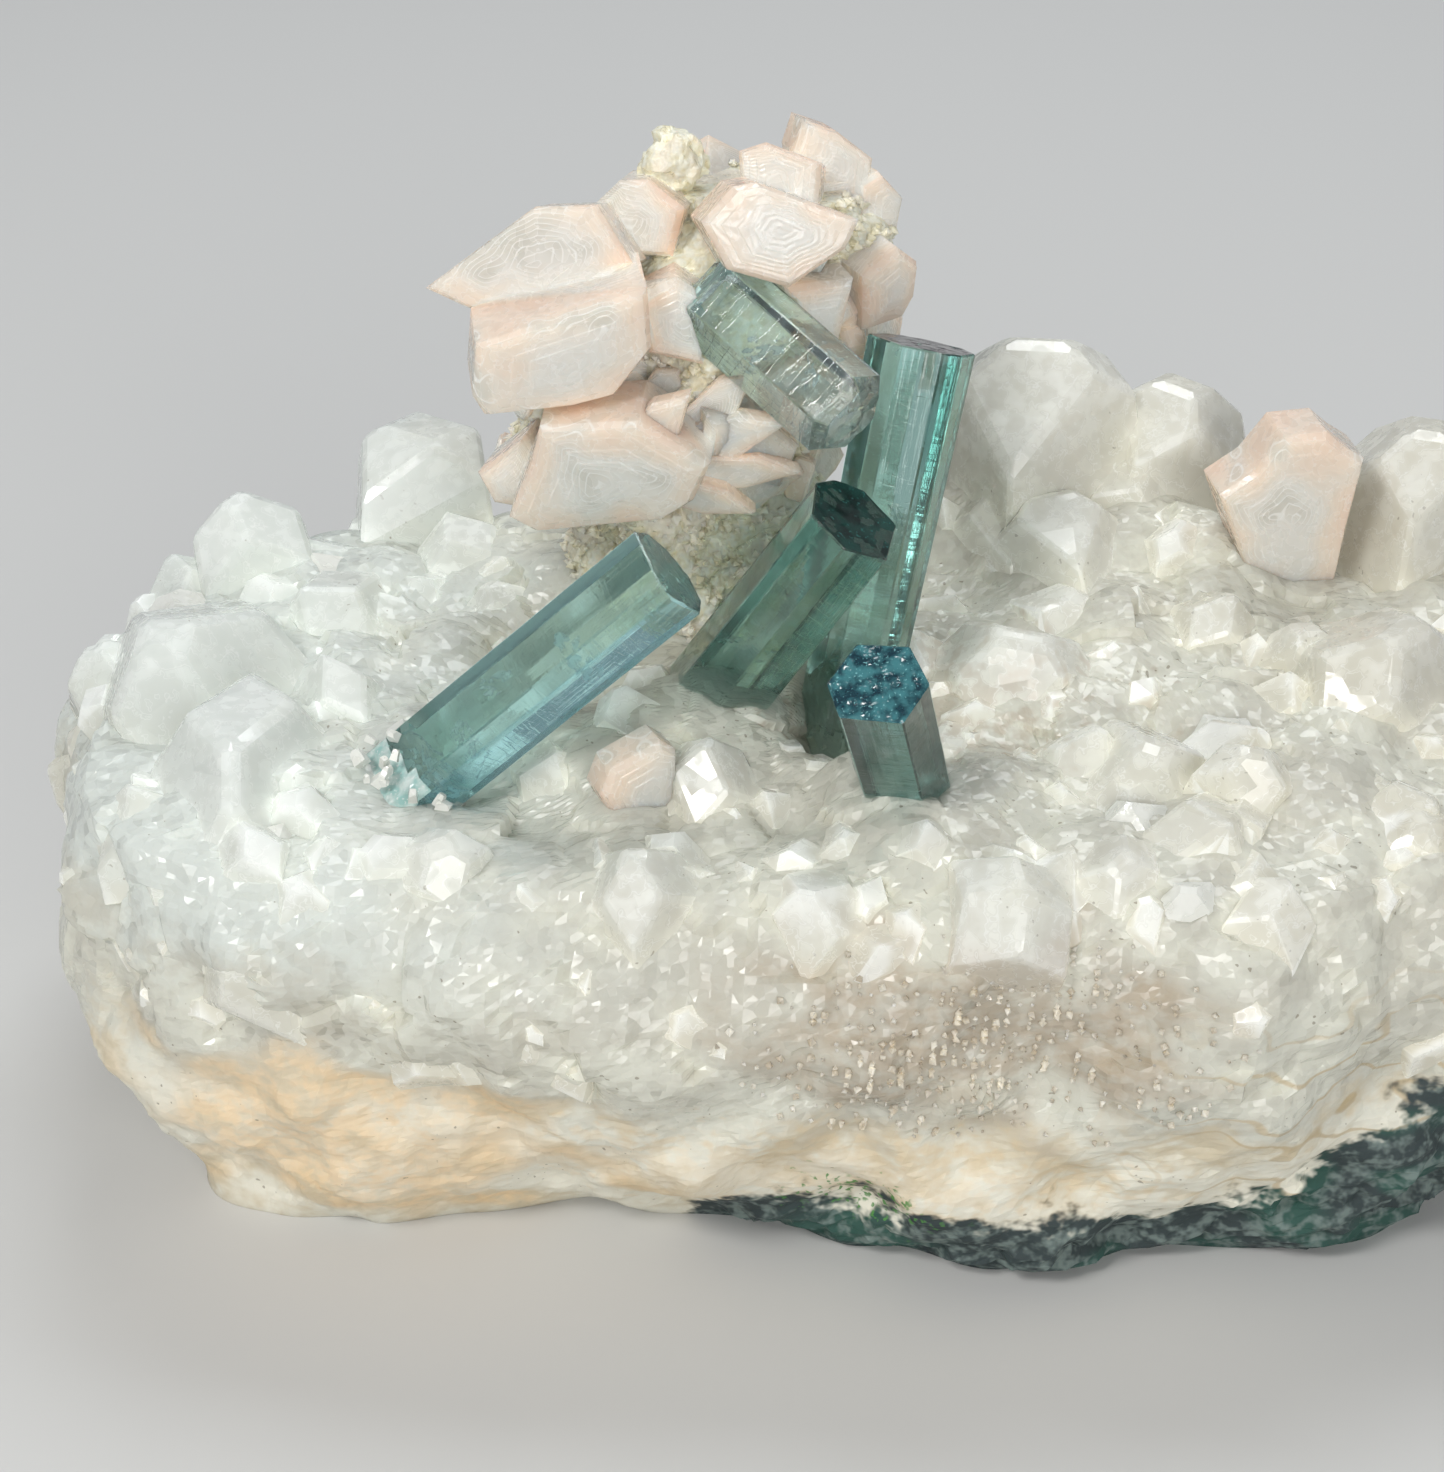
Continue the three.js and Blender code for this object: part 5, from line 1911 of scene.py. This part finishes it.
@dataclass
class Sheaf:
    """The upright sheaf: a lumpy sugary core with blades fused to it and tiny crystals over the core."""

    rings: tuple[tuple[float, float, float, float, float], ...] = (
        (31, -11.5, 11, 10.4, 9),
        (37, -11.5, 11, 9.6, 8.2),
        (43, -11.5, 10.5, 9.4, 7.6),
        (49, -12.5, 10, 10.8, 7.6),
        (55, -12, 9.5, 12, 8.2),
        (61, -10, 9.5, 12, 8),
        (66, -7, 10, 9.6, 7),
        (69.5, -6.5, 10.5, 6.6, 4.8),
    )
    columns: int = 220
    rows: int = 150
    platelet_count: int = 110
    fan: tuple[tuple[Point, float, float, float, float, float], ...] = (
        ((-9.0, -0.9, 54.6), 9.5, 3.4, 0.35, -8, 4),
        ((-8.2, -0.6, 52.0), 9.0, 3.0, -0.05, 6, 12),
        ((-9.4, -0.4, 56.8), 8.0, 2.8, 0.85, -14, 0),
        ((-10.6, -1.6, 50.4), 8.0, 2.8, -0.35, 2, 18),
        ((-13.6, -2.6, 56.2), 7.0, 3.2, 0.9, -10, 8),
        ((-6.4, 1.2, 49.8), 6.5, 2.6, 0.25, 20, 14),
    )
    knob_at: Point = (-12.6, 9.5, 71.3)
    knob_size: Point = (2.3, 2.3, 2.4)
    leaning: "Prism | None" = None

    def core(self) -> tuple[Array, Array]:
        """Works out the core: ellipses carried up a bent line, with lumps and broken flats pushed outwards.

        Returns:
            The grid of points and the grid of outward normals.
        """
        table = np.array(self.rings)
        z = np.linspace(table[0, 0], table[-1, 0], self.rows)
        x, y, wide, deep = (np.interp(z, table[:, 0], table[:, k])[:, None] for k in range(1, 5))
        angle = 2 * math.pi * np.arange(self.columns)[None, :] / self.columns
        grid = np.stack([x + wide * np.cos(angle), y + deep * np.sin(angle), z[:, None] + 0 * angle], axis=-1)
        around = np.stack([np.cos(angle), np.sin(angle)], axis=-1)
        out = lifted(np.broadcast_to(around, (self.rows, self.columns, 2)), 0.0)
        lumps = 1.6 * SlabForm().fine.at(grid) * ease(z, 37, 43)[:, None]
        face, gap = Relief.facets(grid, 2.6, 91)
        push = lumps + 1.1 * face + 0.7 * Relief.layered(grid, 3.4, 4, 97) - 0.35 * ease(gap, 0.2, 0.0)
        grid = grid + out * push[..., None]
        return grid, out

    def build(self) -> list[Piece]:
        """Builds the sheaf and dresses it.

        Returns:
            The pieces that stand for the sheaf.
        """
        finishes = (CORE, BLADE)
        grid, out = self.core()
        core = Shell.revolved(grid).marked(0).object("sheaf_core", finishes)
        layers = [
            blade.shell().marked(1).object(f"blade_{k}", finishes) for k, blade in enumerate(SHEAF_BLADES)
        ]
        layers.append(self.knob().marked(0).object("knob", finishes))
        seat = self.leaning.grown(0.2).shell().marked(0).object("seat", finishes)
        fuse(core, layers, [seat])
        chance = fraction(np.arange(grid[..., 0].size).reshape(grid.shape[:2]), 67)
        sites = (chance < 0.10) & (grid[..., 2] > 36) & (self.leaning.clearance(grid) > 0.8)
        grains = Druse(size=(0.2, 0.5), finish=CREAM).over(grid[sites], out[sites], "sheaf_grains")
        return [core, grains, self.platelets(grid, out)]

    def platelets(self, grid: Array, out: Array) -> Piece:
        """Sets small blades between the large ones, thin tablets that stand out of the core at all tilts.

        Args:
            grid: Points of the core.
            out: Its outward normals.

        Returns:
            The piece.
        """
        rows, columns = grid.shape[:2]
        made = []
        for k in range(self.platelet_count):
            row = int(rows * float(between((0.42, 0.97), k, 81)))
            column = int(columns * math.modf(k * GOLDEN_ANGLE / (2 * math.pi))[0])
            size = float(between((1.3, 3.0), k, 82))
            if self.leaning.clearance(grid[row, column]) < size:
                continue
            heading = math.degrees(math.atan2(out[row, column, 1], out[row, column, 0])) + 90.0
            angles = np.radians(60.0 * np.arange(6) + between((-16, 16), np.arange(6) + 6 * k, 83))
            reach = size * between((0.75, 1.1), np.arange(6) + 6 * k, 84)
            outline = np.stack([reach * np.cos(angles), 0.8 * reach * np.sin(angles)], axis=-1)
            blade = Blade(
                at=tuple(grid[row, column] + out[row, column] * 0.15 * size),
                outline=tuple(map(tuple, outline)),
                thick=float(between((0.9, 2.0), k, 85)),
                swing=heading + float(between((-50, 50), k, 86)),
                tip=float(between((-30, 30), k, 87)),
                bevel=0.25,
                steps=1,
            )
            made.append(blade.shell())
        for at, long, wide, lean, swing, tip in self.fan:
            turn = np.array([[math.cos(lean), -math.sin(lean)], [math.sin(lean), math.cos(lean)]])
            outline = np.array(
                [(-0.5 * long, -0.4 * wide), (0.1 * long, -0.5 * wide), (0.55 * long, -0.05 * wide),
                 (0.2 * long, 0.45 * wide), (-0.45 * long, 0.5 * wide)]
            ) @ turn.T
            made.append(Blade(at, tuple(map(tuple, outline)), 1.5, swing, tip, 0.25, 1).shell())
        return Shell.joined(made).object("sheaf_platelets", (BLADE,))

    def knob(self) -> Shell:
        """Works out the knob at the top: a ball drawn up by a half, with lumps pushed outwards.

        Returns:
            The closed knob.
        """
        turn = 2 * math.pi * np.arange(48)[None, :] / 48
        rise = np.linspace(-1.45, 1.5, 30)[:, None]
        flat = np.stack([np.cos(turn) * np.cos(rise), np.sin(turn) * np.cos(rise)], axis=-1)
        ball = lifted(flat, np.sin(rise))
        points = ball * np.array(self.knob_size) + np.array(self.knob_at)
        face, _ = Relief.facets(points, 1.5, 131)
        lumps = 0.9 * face + 0.4 * Relief.layered(points, 1.2, 3, 137)
        return Shell.revolved(points + ball * lumps[..., None])


# The aquamarines


class Ending(Enum):
    """How the free end of a prism is finished."""

    CLEAN = "a flat face with a narrow bevel"
    ETCHED = "a rough face of pits and hillocks"
    CHIPPED = "a broad bevel with small chips"


END_RELIEF = {Ending.CLEAN: 0.04, Ending.CHIPPED: 0.12, Ending.ETCHED: 0.09}


@dataclass(frozen=True)
class Veil:
    """A healed crack inside a blue crystal: a thin wavy sheet across it, given in the crystal's own axes."""

    along: float
    reach: float
    tilt: float
    heading: float
    aside: tuple[float, float] = (0.0, 0.0)
    thick: float = 0.03

    def shell(self, key: int) -> Shell:
        """Works out the sheet: two wavy discs that meet at a ragged rim.

        The rim lies at the reach times 0.75 to 1.1, and the disc waves by a twelfth of it.

        Args:
            key: Which ragged rim it has.

        Returns:
            The closed sheet, in the crystal's own axes.
        """
        turn = 2 * math.pi * np.arange(28) / 28
        ragged = self.reach * (0.92 + 0.12 * np.sin(3 * turn + key) + 0.07 * np.sin(7 * turn + 2.3 * key))
        share = np.array([0.02, 0.3, 0.6, 0.85, 1.0, 0.85, 0.6, 0.3, 0.02])[:, None]
        side = np.array([-1, -1, -1, -1, 0, 1, 1, 1, 1])[:, None] * self.thick * (1.1 - share)
        x, y = share * ragged * np.cos(turn), share * ragged * np.sin(turn)
        wave = self.reach / 12 * np.sin(1.6 * x + key) * np.cos(1.3 * y - key)
        disc = np.stack([x, y, wave + side], axis=-1)
        lie = turned(self.heading, 2) @ turned(self.tilt, 1)
        return Shell.revolved(disc @ lie.T + np.array([*self.aside, self.along]))


@dataclass(frozen=True)
class Prism:
    """A blue crystal: a prism of uneven sides from its root to its free end."""

    name: str
    root: Point
    tip: Point
    corners: tuple[float, ...]
    radius: float
    taper: float
    absorb: Colour
    density: float
    root_bevel: float = 0.0
    tip_bevel: float = 0.12
    ending: Ending = Ending.CLEAN
    clarity: float = 0.97
    lines: float = 0.35
    chamfer: float = 0.10
    stations: int = 40
    per_side: int = 5
    veils: tuple[Veil, ...] = ()
    tint: Colour = (0.80, 0.97, 0.95)
    facet_tints: tuple[tuple[int, Colour], ...] = ()
    end: EtchedFinish | None = None
    crushed: float = 0.0

    def facets(self) -> tuple[tuple[float, float, Colour], ...]:
        """Works out the facets tinted lighter or darker as painted light and shade.

        Returns:
            Which way each faces in degrees, how far it lies from the axis, and its tint of painted light or
            shade.
        """
        angles = sorted(angle % 360 for angle in self.corners)
        found = []
        for first, colour in self.facet_tints:
            start, end = angles[first], angles[(first + 1) % len(angles)]
            half = ((end - start) % 360) / 2
            found.append((start + half, self.radius * math.cos(math.radians(half)), colour))
        return tuple(found)

    def grown(self, gap: float) -> "Prism":
        """Makes a larger copy, for the seat of the crystal.

        Args:
            gap: How much larger it is all round.

        Returns:
            The copy.
        """
        reach = unit(np.array(self.tip) - np.array(self.root)) * gap
        root, tip = np.array(self.root) - reach, np.array(self.tip) + reach
        return replace(self, root=tuple(root), tip=tuple(tip), radius=self.radius + gap, ending=Ending.CLEAN)

    def clearance(self, points: Array) -> Array:
        """Gives how far points lie outside a rod about the crystal: distance to its axis less its radius.

        Args:
            points: Places in millimetres.

        Returns:
            The distances, below 0 inside.
        """
        root, tip = np.array(self.root), np.array(self.tip)
        share = np.clip((points - root) @ (tip - root) / ((tip - root) @ (tip - root)), 0, 1)
        return np.linalg.norm(points - root - share[..., None] * (tip - root), axis=-1) - self.radius

    def axes(self) -> Array:
        """Gives the crystal's axes in columns, the third along it."""
        return axes_along(np.array([self.tip]) - np.array([self.root]), np.zeros(1))[0]

    def profile(self) -> Array:
        """Works out the outline of unit radius: a narrow flat on every corner and every side cut up evenly.

        Returns:
            Points of shape (n, 2).
        """
        angles = np.radians(np.sort(np.mod(self.corners, 360)))
        corner = np.stack([np.cos(angles), np.sin(angles)], axis=-1)
        ahead, behind = np.roll(corner, -1, axis=0), np.roll(corner, 1, axis=0)
        cut = self.chamfer / self.radius
        start = corner + unit(ahead - corner) * cut
        end = np.roll(corner + unit(behind - corner) * cut, -1, axis=0)
        t = np.linspace(0, 1, self.per_side + 1)[None, :, None]
        return (start[:, None] * (1 - t) + end[:, None] * t).reshape(-1, 2)

    def shell(self) -> Shell:
        """Carries the outline along the crystal: tapered, slightly stepped, bevelled and closed at both ends.

        Returns:
            The closed crystal.
        """
        length = float(np.linalg.norm(np.array(self.tip) - np.array(self.root)))
        along = np.linspace(self.root_bevel, length - self.tip_bevel, self.stations)
        size = self.radius * (self.taper + (1 - self.taper) * along / length)
        size += 0.02 * (fraction(np.floor(along / 2.3), 17) - 0.5)
        outline = self.profile()
        rings = [(a, s, 1.0) for a, s in zip(along, size)]
        inner = np.linspace(1.0, 0.06, 12)
        first, last = size[0] - self.root_bevel, size[-1] - self.tip_bevel
        start = [(0.0, first, f) for f in inner[::-1]][: None if self.root_bevel > 0 else -1]
        rings = start + rings + [(length, last, f) for f in inner]
        a, s, f = (np.array(column)[:, None] for column in zip(*rings))
        local = lifted(outline[None] * (s * f)[..., None], a)
        local[..., 2] += self.relief(local, length)
        return Shell.revolved(local @ self.axes().T + np.array(self.root))

    def relief(self, local: Array, length: float) -> Array:
        """Gives how far each point of the free end is moved along the crystal.

        Args:
            local: The points in the crystal's own axes.
            length: The crystal's length.

        Returns:
            The move in millimetres.
        """
        at_end = ease(local[..., 2], length - 0.35, length - 0.02)
        face, _ = Relief.facets(local, 1.7 if self.ending is Ending.CHIPPED else 0.9, 151)
        return at_end * END_RELIEF[self.ending] * (1.6 * face - 0.2)

    def build(self) -> list[Piece]:
        """Builds the crystal with its veils and dresses them.

        Returns:
            The pieces.
        """
        axes = tuple(tuple(float(v) for v in row) for row in self.axes())
        finish = BerylFinish(
            self.name.replace("_", " ").capitalize(),
            absorb=self.absorb,
            density=self.density,
            axes=axes,
            start=self.root,
            clarity=self.clarity,
            lines=self.lines,
            tint=self.tint,
            facets=self.facets(),
        )
        shell = self.shell()
        along = (shell.points - np.array(self.root)) @ self.axes()[:, 2]
        limit = along.max() - 0.06 - 0.35 * (self.ending is Ending.ETCHED)
        ragged = along + 2.6 * Relief.value(shell.points, 1.6, 211)
        marks = []
        for face in shell.faces:
            at_end = self.end is not None and along[list(face)].min() > limit
            marks.append(1 if at_end else 2 * int(ragged[list(face)].mean() < self.crushed))
        shell = Shell(shell.points, shell.faces, marks)
        finishes = (finish, self.end or finish, CRUSHED)[: 1 + max(marks)]
        pieces = [shell.object(self.name + "_look", finishes)]
        if self.veils:
            sheets = Shell.joined(veil.shell(k) for k, veil in enumerate(self.veils))
            placed = Shell(sheets.points @ self.axes().T + np.array(self.root), sheets.faces)
            pieces.append(placed.object(self.name + "_veils", (VEIL,)))
        return pieces


PRISMS: tuple[Prism, ...] = (
    Prism(
        "aquamarine_lying", (-35.5, -14.9, 30), (-12.7, -13.7, 50), (277, 298, 360, 35, 75, 115, 150, 180),
        radius=3.65, taper=0.98, absorb=(0.20, 0.68, 0.62), density=27.0, clarity=0.95, crushed=7.0,
        ending=Ending.CHIPPED, end=TEAL_END, tint=(0.70, 0.95, 0.91),
        # Two facets are tinted a lighter blue: painted light.
        facet_tints=((6, (0.56, 0.88, 0.92)), (7, (0.40, 0.78, 0.94))),
        veils=(
            Veil(4.5, 3.0, 35, 20),
            Veil(7.0, 2.6, -30, 70, (0.6, -0.4)),
            Veil(8.6, 2.2, 25, 130, (-0.6, 0.3)),
            Veil(11.0, 1.7, 62, 40, (1.1, 0.2)),
            Veil(15.5, 1.5, 66, 205, (-0.9, 0.3)),
            Veil(21.5, 1.3, 60, 95, (0.6, 0.9)),
        ),
    ),
    Prism(
        "aquamarine_upper", (-9.9, 3.1, 63.9), (0.1, -6.4, 58.2), (0, 60, 120, 180, 239, 306),
        radius=3.65, taper=1.0, absorb=(0.22, 0.68, 0.66), density=12.0, root_bevel=0.55, tip_bevel=0.8,
        clarity=0.99, tint=(0.90, 1.0, 0.99), ending=Ending.CHIPPED,
        veils=(Veil(6.5, 1.7, 68, 60, (0.5, 0.5)), Veil(10.6, 1.6, 40, 200, (-0.6, 0.0))),
    ),
    Prism(
        "aquamarine_tall", (-1.3, -6.1, 25), (5.5, 3.6, 59.8), (0, 40, 85, 130, 180, 247, 292, 317),
        radius=4.0, taper=0.86, absorb=(0.16, 0.53, 0.50), density=110.0, tint=(0.76, 0.93, 0.88),
        # One facet is tinted dark green as painted shade and the next a lighter teal as painted light.
        lines=0.2, end=ROSY_END, facet_tints=((6, (0.13, 0.30, 0.27)), (7, (0.42, 0.70, 0.62))),
        veils=(Veil(13.0, 2.2, 38, 120), Veil(24.0, 1.5, 64, 20, (0.8, -0.6))),
    ),
    Prism(
        "aquamarine_thick", (-10.9, -4.2, 33), (0.3, -9.5, 52), (48, 103, 141, 170, 230, 281, 339),
        radius=3.8, taper=1.06, absorb=(0.13, 0.52, 0.44), density=122.0, lines=0.2, end=DEEP_END,
        veils=(Veil(4.0, 2.6, 30, 10), Veil(9.0, 1.7, 60, 150, (-0.8, 0.5))),
    ),
    Prism(
        "aquamarine_stub", (5.1, -13, 29), (1.3, -24.9, 47.4), (32, 95, 155, 202, 279, 336),
        radius=3.45, taper=0.93, absorb=(0.12, 0.50, 0.49), density=260.0, tip_bevel=0.18,
        ending=Ending.ETCHED, end=ETCHED,
    ),
)


# The studio


@dataclass(frozen=True)
class Lamp:
    """A soft rectangular lamp."""

    name: str
    at: Point
    size: tuple[float, float]
    power: float
    colour: Colour = (1.0, 1.0, 1.0)

    def build(self, target: Vector) -> None:
        """Hangs the lamp and aims it.

        Args:
            target: What it points at, in metres.
        """
        data = bpy.data.lights.new(self.name, "AREA")
        data.shape = "RECTANGLE"
        data.size, data.size_y = self.size
        data.energy = self.power
        data.color = self.colour
        lamp = bpy.data.objects.new(self.name, data)
        lamp.location = self.at
        lamp.rotation_euler = (target - lamp.location).to_track_quat("-Z", "Y").to_euler()
        bpy.context.scene.collection.objects.link(lamp)


@dataclass
class Studio:
    """Pale floor, soft lamps, an even surrounding and the camera at the photograph's angle."""

    target: Point = (-9.0, 0.0, 29.0)
    distance: float = 220.0
    half_height: float = 56.6
    sensor: float = 36.0
    floor_size: float = 3000.0
    floor_drop: float = 0.02
    floor_squares: int = 8
    floor: Colour = (0.62, 0.62, 0.61)
    surround: float = 0.28
    surround_colour: Colour = (0.92, 0.95, 1.0)
    clip: Limits = (0.01, 20.0)
    lamps: tuple[Lamp, ...] = (
        Lamp("Key", (-0.38, -0.42, 0.60), (0.20, 0.20), 2.9, (1.0, 0.985, 0.96)),
        Lamp("Top", (0.05, 0.34, 0.62), (0.4, 0.25), 1.9, (0.95, 0.98, 1.0)),
        Lamp("Front", (0.18, -0.66, 0.26), (0.4, 0.3), 2.2, (1.0, 0.99, 0.97)),
    )

    def build(self) -> None:
        """Builds the floor, the lamps, the surrounding and the camera."""
        scene = bpy.context.scene
        across = self.floor_squares + 1
        side = np.linspace(-0.5, 0.5, across) * self.floor_size
        points = lifted(np.stack(np.meshgrid(side, side), axis=-1), -self.floor_drop).reshape(-1, 3)
        first = np.arange(across * self.floor_squares).reshape(-1, across)[:, :-1].ravel()
        quads = np.stack([first, first + 1, first + across + 1, first + across], axis=-1)
        Shell(points, quads.tolist()).object("floor", (PlainFinish("Floor", self.floor),))
        target = Vector(self.target) * MM
        for lamp in self.lamps:
            lamp.build(target)
        world = bpy.data.worlds.new("Surround")
        world.use_nodes = True
        background = world.node_tree.nodes["Background"].inputs
        background["Color"].default_value = (*self.surround_colour, 1.0)
        background["Strength"].default_value = self.surround
        scene.world = world
        scene.view_settings.view_transform = "Standard"
        data = bpy.data.cameras.new("Camera")
        data.sensor_width = self.sensor
        data.lens = self.sensor / 2 / (self.half_height / self.distance)
        data.clip_start, data.clip_end = self.clip
        camera = bpy.data.objects.new("Camera", data)
        camera.location = target + Vector(SHOW_SIDE) * self.distance * MM
        camera.rotation_euler = (target - camera.location).to_track_quat("-Z", "Y").to_euler()
        scene.collection.objects.link(camera)
        scene.camera = camera


@dataclass
class Specimen:
    """The whole specimen, built from its sub-assemblies."""

    slab: Slab = field(default_factory=Slab)
    sheaf: Sheaf = field(default_factory=lambda: Sheaf(leaning=PRISMS[1]))
    prisms: tuple[Prism, ...] = PRISMS

    def build(self) -> None:
        """Builds every sub-assembly and says which node each piece stands for."""
        self.keep(self.slab.build(), "matrix")
        self.keep(self.sheaf.build(), "peach_sheaf")
        for name, blade in LONE_BLADES.items():
            self.keep([blade.shell().object(name + "_look", (BLADE,))], name)
        for prism in self.prisms:
            self.keep(prism.build(), prism.name)

    @staticmethod
    def keep(pieces: Sequence[Piece], node: str) -> None:
        """Lets pieces ride on the specimen in place of a node.

        Args:
            pieces: The pieces.
            node: The node that they stand for, whose part is hidden.
        """
        for piece in pieces:
            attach(piece, "root")
            triangles = sum(len(polygon.vertices) - 2 for polygon in piece.data.polygons)
            LOG.info("%s stands for %s with %d triangles", piece.name, node, triangles)
        for piece in pieces:
            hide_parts(node)


def main() -> None:
    """Builds the studio and the specimen."""
    logging.basicConfig(level=logging.INFO, format="%(message)s")
    Studio().build()
    Specimen().build()
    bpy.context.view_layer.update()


if __name__ == "__main__":
    main()
